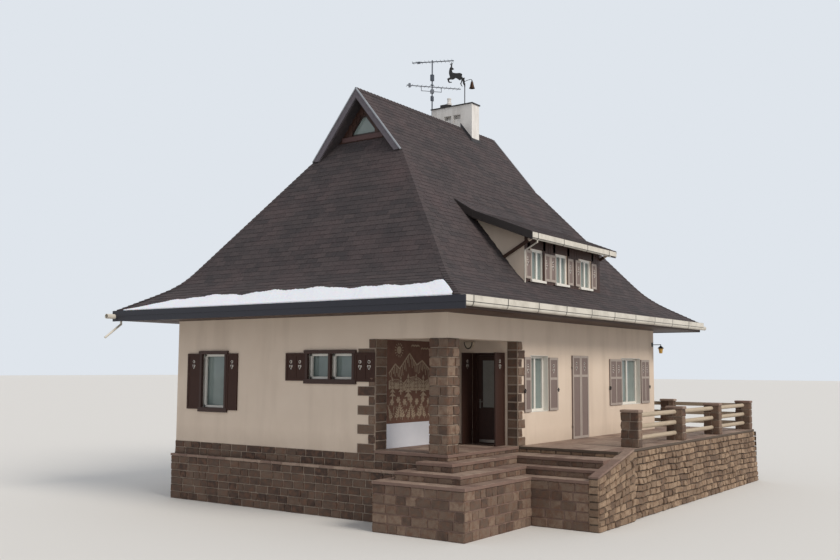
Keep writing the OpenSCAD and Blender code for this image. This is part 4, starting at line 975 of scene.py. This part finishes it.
# Dormer: a boarded front stained dark between rendered cheeks, braced at both ends by a slanting
# strut, under a shed roof whose verge boards and soffit are dark.
dormer_y = (dormer_low[1] + 0.06, dormer_high[1] - 0.06)
dormer_windows = dormer_low[1] + np.array([0.075, 0.378, 0.711]) * (dormer_high[1] - dormer_low[1])
window_w, window_h, casing = 0.64, 0.79, 0.13
sill_z, foot_z, top_z = 5.33, 5.20, 6.40
x_in, x_out = half - 0.004, half + 0.014
starts = np.arange(dormer_y[0], dormer_y[1] - 0.02, 0.13)
ends = np.minimum(starts + 0.124, dormer_y[1])
covered = np.zeros(len(starts), bool)
for y in dormer_windows:
    covered |= (ends > y + 0.002) & (starts < y + window_w - 0.002)
dormer_front = [boxes(table(x_in, starts, foot_z)[~covered], table(x_out, ends, top_z)[~covered], 230)]
for y in dormer_windows:
    left, right = y - casing, y + window_w + casing
    dormer_front.append(boxes([[x_in, left, sill_z + window_h], [x_in, left, foot_z]],
        [[x_out, right, top_z], [x_out, right, sill_z]], 231))
piece("dormer_front_boards", dormer_front, brown_z, bevel=0.003)
brace, strut_w = math.radians(28), 0.068
lie = np.array([math.cos(brace), 0, math.sin(brace)])
square = np.array([-math.sin(brace), 0, math.cos(brace)])
strut_start = np.array([half - 0.56, 0, dormer_top - 0.575]) - 0.004 * (lie + square)
strut_edges = [lie * 0.80, INTO * strut_w, square * strut_w]
struts = [blocks([strut_start + INTO * (y - 0.004)], [strut_edges]) for y in (dormer_low[1], dormer_y[1])]
piece("dormer_struts", struts, brown_x, bevel=0.004)
# The verge boards follow the roof's bend. The front one is wide and covers the gutter's end
verge_boards = []
for y, depth, past in ((dormer_roof_low[1] - 0.022, 0.196, 0.09), (dormer_roof_high[1] - 0.004, 0.07, 0.02)):
    verge = dormer_eave + table(-dormer_run, 0, dormer_rise)
    verge[0] += (verge[0] - verge[1]) / dormer_run[1] * past
    for low, high in zip(verge[:-1], verge[1:]):
        verge_boards.append(blocks([high + [0, y, 0.004 - depth]], [[low - high, INTO * 0.026, UP * depth]]))
piece("dormer_verge_boards", verge_boards, black_stain, bevel=0.004)
out = dormer_roof_high[0] - half
soffit_run = np.array([out, 0, -out * math.tan(math.radians(dormer_pitch))])
soffit_edges = [soffit_run, INTO * (dormer_roof_high[1] - dormer_roof_low[1]), UP * 0.014]
under = dormer_eave + [0, dormer_roof_low[1], -0.19]
piece("dormer_soffit", [blocks([under - soffit_run], [soffit_edges])], brown_x)


# Gutters: folded sheet painted cream, with a rounded bottom under a straight lip, held by iron straps
# 1.3 m apart. A drip strip of the same sheet closes the roof edge above them.
# Cream paint with a worn gloss and grey dirt; iron dull black, flecked with brown
gloss = {"Roughness": 0.42, "Specular IOR Level": 0.5}
cream_sheet = mottled("cream_painted_sheet", "cfcabf", "948d80", gloss, 2.2, 7.0, 0.7,
    spread=(0.45, 0.75, 0.7))
satin = {"Roughness": 0.5, "Specular IOR Level": 0.4}
iron = mottled("black_painted_iron", "1b1b1d", "302c2b", satin, 60.0, 4.0)
dress(cream_sheet, "gutters")
lip = 0.12


def bands(x, z, width, height, y_from, y_to, sign):
    """Straps round a gutter: a grid of points, down its face and round its bottom half circle."""
    ys = np.arange(y_from + 0.27, y_to, 1.32)
    turn = np.linspace(0, np.pi, 9)
    radius = width / 2 + 0.004
    ring = table(width / 2 + radius * np.cos(turn), width / 2 - height - radius * np.sin(turn))
    face_line = [[width + 0.013, 0.008], [width + 0.013, -lip], [width + 0.004, -lip - 0.004]]
    line = np.concatenate([face_line, ring])
    section = table(x + sign * line[:, 0], 0, z + line[:, 1])
    wide = np.array([-0.0125, 0.0125]) * sign
    points = section[:, None] + (ys[:, None, None] + wide)[..., None] * INTO
    return points[:, ::-1], [grid(len(ys), len(line), 2)], 0.3


troughs = [(eave_x, eave_z, 0.122, 0.205, eave_front + 0.03, eave_rear, 1),
    (-eave_x, eave_z, 0.122, 0.205, eave_front + 0.03, eave_rear, -1),
    (dormer_roof_high[0], dormer_top - 0.05, 0.08, 0.155, dormer_roof_low[1], dormer_roof_high[1] - 0.15, 1)]
piece("gutter_straps", [bands(*trough) for trough in troughs], iron)
drips, painted_shadow_lines = [], []
for x, z, width, height, front, rear, sign in troughs:
    rim = x + sign * width
    for from_x, low in ((x - sign * 0.03, z + 0.002), (rim + sign * 0.002, z - lip)):
        drips.append(boxes([from_x, front, low], [rim + sign * 0.010, rear, z + 0.008]))
    # Under each lip a thin strip of dark iron is a painted shadow line
    low = z - lip - 0.010
    painted_shadow_lines.append(boxes([rim - sign * 0.002, front, low], [rim + sign * 0.007, rear, low + 0.009]))
piece("gutter_lips", drips, cream_sheet, bevel=0.002)
piece("gutter_painted_shadow_lines", painted_shadow_lines, iron)


# Chimney: a rendered stack, once white, stained by smoke and rain, with a sheet cap and openings on
# both faces. The mast, the vane's rod and the caps are dark or weathered metal.
# Chalky white with grey runs; matt lead made dark, partly as painted shadow; dull grey aluminium; brass gone
# nearly black
stack = mottled("stained_white_render", "e2e0dd", "b3aeaa", {"Roughness": 0.9}, 1.5, 7.0, 0.65,
    stretch=(4.0, 4.0, 0.8), spread=(0.42, 0.68, 0.5))
dark_lead_and_painted_shadow = mottled("lead_darkened_as_painted_shadow", "2c2b2e", "4d4b4e", {"Roughness": 0.6, "Metallic": 0.3}, 12.0, 5.0)
metal = {"Metallic": 1.0, "Roughness": 0.45}
aluminium = mottled("weathered_aluminium", "474b52", "6a6e75", metal, 30.0, 3.0)
brass = mottled("tarnished_brass", "2d221d", "4c382b", {"Metallic": 1.0, "Roughness": 0.5}, 40.0, 4.0)
dress(stack, "chimney")
dress(iron, "chimney_cap", "vane_rod", "vane_figure", "hinge_pins")
dress(aluminium, "aerial")
dress(brass, "vane_bell")


def turned(x, y, z, radii, heights, sides):
    """Turned shape: each radius at its height over z, swept round the upright line through x and y."""
    turn = np.linspace(0, 2 * np.pi, sides + 1)
    radii, heights = np.array(radii)[:, None], np.array(heights)[:, None]
    points = np.stack([x + radii * np.cos(turn), y + radii * np.sin(turn), z + heights + 0 * turn], 2)
    return points, [grid(1, len(radii), sides + 1)], 0.5


stack_low, stack_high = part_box("chimney")
vent_y = stack_low[1] + 0.03
vent_z = stack_high[2] - 0.508
vent_fill = [boxes([x + 0.004, vent_y, vent_z], [x + 0.246, vent_y + 0.122, vent_z + 0.118])
    for x in (-0.625, -0.295)]
piece("vent_baffles", vent_fill, stack, bevel=0.004)
# A lead apron follows the slope at the stack's foot: its dark strip on the stack's front is also painted
# shadow of the stack on the roof. A white sleeve stands on the cap
apron_run = side_fall * ((stack_high[0] + 0.06) / side_fall[0])
apron_top = ridge_z - stack_high[0] * side_steep
apron = [blocks([[-0.04, stack_low[1] - 0.010, ridge_z + 0.02]], [[apron_run, INTO * 0.012, UP * 0.15]]),
    boxes([stack_high[0] - 0.002, stack_low[1] - 0.05, apron_top - 0.05 * side_steep],
        [stack_high[0] + 0.012, stack_high[1] + 0.05, apron_top + 0.10])]
piece("chimney_apron", apron, dark_lead_and_painted_shadow, bevel=0.003)
sleeve = turned(stack_low[0] + 0.475, (stack_low[1] + stack_high[1]) / 2 + 0.03, stack_high[2],
    [0.078, 0.078, 0.056, 0.056, 0.064, 0.064, 0.0], [0.135, 0.19, 0.215, 0.31, 0.315, 0.345, 0.347], 32)
piece("chimney_sleeve", [sleeve], stack, smooth=40)


# Windows: white painted casements set back in the wall, with clear panes. The front ones have a dark
# casing whose top and bottom boards run past the sides.
# White gloss paint: a soft sheen under a little dust
white_paint, tree, shader, place = finish("white_gloss_paint", {"Roughness": 0.38, "Specular IOR Level": 0.5})
# The small lights up in the gables have dark frames
gable_lights = 8.5
height = add(tree, "SeparateXYZ", {0: place}).outputs["Z"]
upper = add(tree, "Math", {0: height, 1: gable_lights}, operation="GREATER_THAN").outputs[0]
dusty = blend(tree, noise(tree, place, 4.0, 6.0), "e6e4de", "d6d2c9")
coat(tree, shader, blend(tree, upper, dusty, "2f1f1b"))
# Window glass: grey-green, clear and faintly wavy; broad patches from dark to pale are painted reflection
glass = {"Roughness": 0.05, "Transmission Weight": 0.25, "IOR": 1.5}
pane_glass = mottled("window_pane", "6b7a79", "a7b4b0", glass, 1.4, bump=(0.08, 0.01))
dress(white_paint, "window_frames")
dress(pane_glass, "window_glass")
# Openings as left, right, foot and top
front_holes = [(-3.27, -2.345, 2.21, 3.64), (0.241, 1.67, 2.945, 3.64)]
right_holes = [(3.3425, 4.2325, 2.245, 3.58), (8.6025, 9.9625, 2.27, 3.58)]
rear_holes = [(-2.75, -1.39, 2.245, 3.58), (1.39, 2.75, 2.245, 3.58)]
left_holes = [(-8.4925, -7.1325, 2.245, 3.58), (-3.4925, -2.1325, 2.245, 3.58)]
casings = []
y_out, y_side, y_in = face - 0.049, face - 0.043, face + 0.034
for (left, right, sill, top), sashes in zip(front_holes, (1, 2)):
    lows = [[left - 0.05, y_out, top - 0.062], [left - 0.05, y_out, sill - 0.045],
        [left - 0.006, y_side, sill], [right - 0.062, y_side, sill]]
    highs = [[right + 0.05, y_in, top + 0.02], [right + 0.05, y_in, sill + 0.062],
        [left + 0.062, y_in, top], [right + 0.006, y_in, top]]
    if sashes == 2:
        post = (left + right) / 2 - 0.03
        lows.append([post - 0.004, y_side, sill])
        highs.append([post + 0.064, y_in, top])
    casings.append(boxes(lows, highs, 240))
piece("front_casings", casings, brown_z, bevel=0.004)
# Inside the front casings the white sashes show: rings of four boards before the panes
w, y_out, y_in = 0.055, face + 0.075, face + 0.128
rings = [(-3.21, -2.405, 2.27, 3.58), (0.301, 0.9255, 3.005, 3.58), (0.9855, 1.61, 3.005, 3.58)]
sashes = [
    boxes([[left, y_out, foot], [left, y_out, top - w], [left, y_out, foot], [right - w, y_out, foot]],
        [[right, y_in, foot + w], [right, y_in, top], [left + w, y_in, top], [right, y_in, top]])
    for left, right, foot, top in rings
]
piece("front_sashes", sashes, white_paint, bevel=0.004)


def linings(corner, along, holes, start):
    """Boards that line holes (left, right, foot, top) in a wall, from start to 0.13 m deep: two sides,
    a head and a sill."""
    inward = -np.cross(along, UP)
    thick, depth = 0.012, 0.13 - start
    parts = []
    for left, right, foot, top in holes:
        for u, z, width, height in ((left, foot, thick, top - foot), (right - thick, foot, thick, top - foot),
                (left, top - thick, right - left, thick), (left, foot, right - left, thick)):
            origin = corner + u * along + z * UP + start * inward
            parts.append(blocks([origin], [[width * along, depth * inward, height * UP]]))
    return parts


rows = [((0, face, 0), RIGHT, front_holes, 0.036), ((half, 0, 0), INTO, right_holes, 0.0),
    ((0, back, 0), LEFT, rear_holes, 0.0), ((-half, 0, 0), OUT, left_holes, 0.0)]
lined = [board for row in rows for board in linings(*row)]
piece("window_linings", lined, white_paint, bevel=0.002)


# Shutters and doors: panelled boards stained dark brown, pierced with a circle and a heart. On the
# sunny side they are painted grey as sunlit, with painted shade on the panels set back between the
# stiles and rails.
def painted_sunlit_boards(name, surface):
    """Dark stained boards, painted grey as sunlit beyond the sunny wall's face: lighter at x = surface,
    where the stiles are, than on the panels 8 mm behind, which carry painted shade."""
    material, tree, shader, place = finish(name, {"Roughness": 0.7, "Specular IOR Level": 0.3})
    fibre = noise(tree, place, 3.0, 6.0, 0.62, upright)
    reach = add(tree, "SeparateXYZ", {0: place}).outputs["X"]
    raised = remap(tree, reach, surface - 0.005, surface - 0.002, 0.0, 1.0)
    dark, panel, stile = (blend(tree, fibre, *pair)
        for pair in (("2a1914", "472c22"), ("6b5c58", "8b7d78"), ("928780", "b6aca4")))
    # Painted sunlight: beyond the sunny wall's face the boards turn grey; the recessed panels get painted
    # shade
    sunny = add(tree, "Math", {0: reach, 1: half - 0.02}, operation="GREATER_THAN").outputs[0]
    coat(tree, shader, blend(tree, sunny, dark, blend(tree, raised, panel, stile)), fibre, (0.4, 0.002))
    return material


dress(brown_z, "outer_door_left", "outer_door_right", "front_door", "door_frame")
dress(painted_sunlit_boards("painted_sunlit_window_shutters", half + 0.035), "window_shutters")
dress(painted_sunlit_boards("painted_sunlit_terrace_shutters", half + 0.0425), "terrace_shutter_left", "terrace_shutter_right")


def outlined(corner, along, leaves):
    """White painted edges round the cut-outs of leaves (left, width, foot, height, columns) on a wall:
    rings between an outline and the same one enlarged about its middle."""
    out = np.cross(along, UP)
    turn = np.linspace(0, 2 * np.pi, 25)
    circle = np.stack([np.cos(turn), np.sin(turn)], 1) * 0.028
    half_heart = np.array([[0, -45], [38, 12], [30, 32], [12, 34], [0, 20]]) / 1000
    heart = np.concatenate([half_heart, half_heart[-2::-1] * [-1, 1]])
    stile = 0.06
    parts = []
    for left, width, foot, height, columns in leaves:
        pitch = (width - stile) / columns
        for k in range(columns):
            middle = left + stile / 2 + (k + 0.5) * pitch
            for shape, z in ((circle, foot + height - 0.20), (heart, foot + height - 0.32)):
                ring = np.stack([shape, shape * 1.32], 1) + [middle, z]
                points = corner + ring[..., :1] * along + ring[..., 1:] * UP + 0.0015 * out
                parts.append((points, [grid(1, len(shape), 2)[:, ::-1]], 0.5))
    return parts


# Each leaf: left edge, width, foot, height and columns of panels
panel_face = half + 0.035 - 0.008
front_leaves = [(-3.73, 0.45, 2.225, 1.37, 1), (-2.335, 0.375, 2.225, 1.37, 1),
    (-0.375, 0.606, 2.96, 0.635, 2), (1.68, 0.565, 2.96, 0.635, 2)]
right_leaves = [(3.0225, 0.31, 2.26, 1.275, 1), (4.2425, 0.455, 2.26, 1.275, 1),
    (7.7875, 0.805, 2.285, 1.25, 2), (9.9725, 0.615, 2.285, 1.25, 2)]
dormer_leaves = [(y + shift, 0.295, sill_z + 0.055, window_h - 0.115, 1)
    for y in dormer_windows for shift in (-0.305, 0.65)]
painted = outlined((0, face + half - panel_face, 0), RIGHT, front_leaves)
painted += outlined((panel_face, 0, 0), INTO, right_leaves + dormer_leaves)
piece("shutter_cutout_edges", painted, white_paint)
# Both faces of the swinging leaves: x of the hinge axis, y of the nearer edge, width and height
panel_depth = 0.0175 - 0.008
for node, body, axis, edge, width, height in (
        ("outer_door_left", "outer_leaf_left", 2.905, 2.271, 0.4285, 2.12),
        ("outer_door_right", "outer_leaf_right", 3.79, 2.271, 0.4285, 2.12),
        ("terrace_shutter_left", "terrace_leaf_left", 4.15, 5.4905, 0.453, 2.09),
        ("terrace_shutter_right", "terrace_leaf_right", 4.15, 5.9515, 0.453, 2.09)):
    leaf = (width, floor_top + 0.01, height, 1)
    rings = outlined((axis + panel_depth, 0, 0), INTO, [(edge, *leaf)])
    rings += outlined((axis - panel_depth, 0, 0), OUT, [(-edge - width, *leaf)])
    piece(f"{node}_cutout_edges", rings, white_paint, body=body)
# Iron catches hold the folded shutters against the wall
catches = []
for y in (3.0225, 4.6975, 7.7875, 10.5875):
    catches.append(boxes([half + 0.030, y - 0.045, 2.74], [half + 0.052, y + 0.045, 2.765]))
    catches.append(boxes([half - 0.002, y - 0.008, 2.70], [half + 0.056, y + 0.008, 2.80]))
piece("shutter_catches", catches, iron, bevel=0.003)
# Lever and plate on the front door, and the strip along its foot: nickel, bright but worn
nickel = mottled("worn_nickel", "9b978f", "c9c5bc", {"Metallic": 1.0, "Roughness": 0.35}, 80.0, 3.0)
strip_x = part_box("front_door")[0][0] + 0.02
lever_x, lever_z, door_y = 3.026, 2.48, 2.8805
plate_low, plate_high = [-0.019, -0.007, -0.151], [0.019, 0.001, 0.061]
lever_low, lever_high = [-0.010, -0.050, -0.009], [0.118, -0.038, 0.009]
strip_z = floor_top + 0.03 - lever_z
strip_low, strip_high = [strip_x - lever_x, -0.003, strip_z], [0.62, 0.001, strip_z + 0.07]
at = np.array([lever_x, door_y, lever_z])
lows, highs = at + [plate_low, lever_low, strip_low], at + [plate_high, lever_high, strip_high]
piece("door_fittings", [boxes(lows, highs)], nickel, body="front_door_leaf", bevel=0.003)
# Patterned glass: milky grey, broken up by small dimples
frosted = mottled("patterned_door_glass", "8c8c88", "b5b5ae",
    {"Roughness": 0.3, "Transmission Weight": 0.4, "IOR": 1.5}, 45.0, bump=(0.6, 0.004))
dress(frosted, "front_door_glass")


# Wall lamps: a half-round shade of cream glass in a dark iron bow over the porch, and an amber lantern
# with an iron cap on a bracket at the rear corner.
# Lamp glass: cloudy amber or cream that lets a little light through
clear = {"Roughness": 0.25, "Transmission Weight": 0.3}
cloudy = {"Roughness": 0.3, "Transmission Weight": 0.1}
amber_glass = mottled("amber_lamp_glass", "d9a441", "eec56a", clear, 20.0)
cream_glass = mottled("cream_lamp_glass", "cdbfa9", "ded3c0", cloudy, 20.0)
dress(amber_glass, "wall_lamps")


def bowed(rings):
    """Half hoops under the porch lamp's middle, each so wide, so high and so far off the wall."""
    turn = np.linspace(-np.pi, 0, 25)
    x, z = 2.855, floor_top + 2.385
    lines = [table(x + wide * np.cos(turn), porch_back + off, z + high * np.sin(turn))
        for wide, high, off in rings]
    return np.stack(lines, 1), [grid(1, 25, len(rings))], 0.5


rim = [(0.118, 0.168, -0.112), (0.118, 0.168, -0.122), (0.096, 0.142, -0.122), (0.096, 0.142, -0.112)]
piece("porch_lamp_bow", [bowed(rim + rim[:1])], iron)
shade = [(0.106, 0.1537, 0.0), (0.106, 0.1537, -0.115), (0.0, 0.0, -0.118)]
piece("porch_lamp_shade", [bowed(shade)], cream_glass)
x, y, z = half + 0.27, back - 0.10, floor_top + 2.24
cap = turned(x, y, z, [0.0, 0.094, 0.096, 0.02, 0.011, 0.011], [0.140, 0.146, 0.152, 0.222, 0.226, 0.268], 24)
bar = boxes([half, y - 0.010, z + 0.248], [x + 0.012, y + 0.010, z + 0.268])
plate = boxes([half, y - 0.05, z + 0.20], [half + 0.014, y + 0.05, z + 0.32])
piece("lantern_iron", [cap, bar, plate], iron, smooth=40)
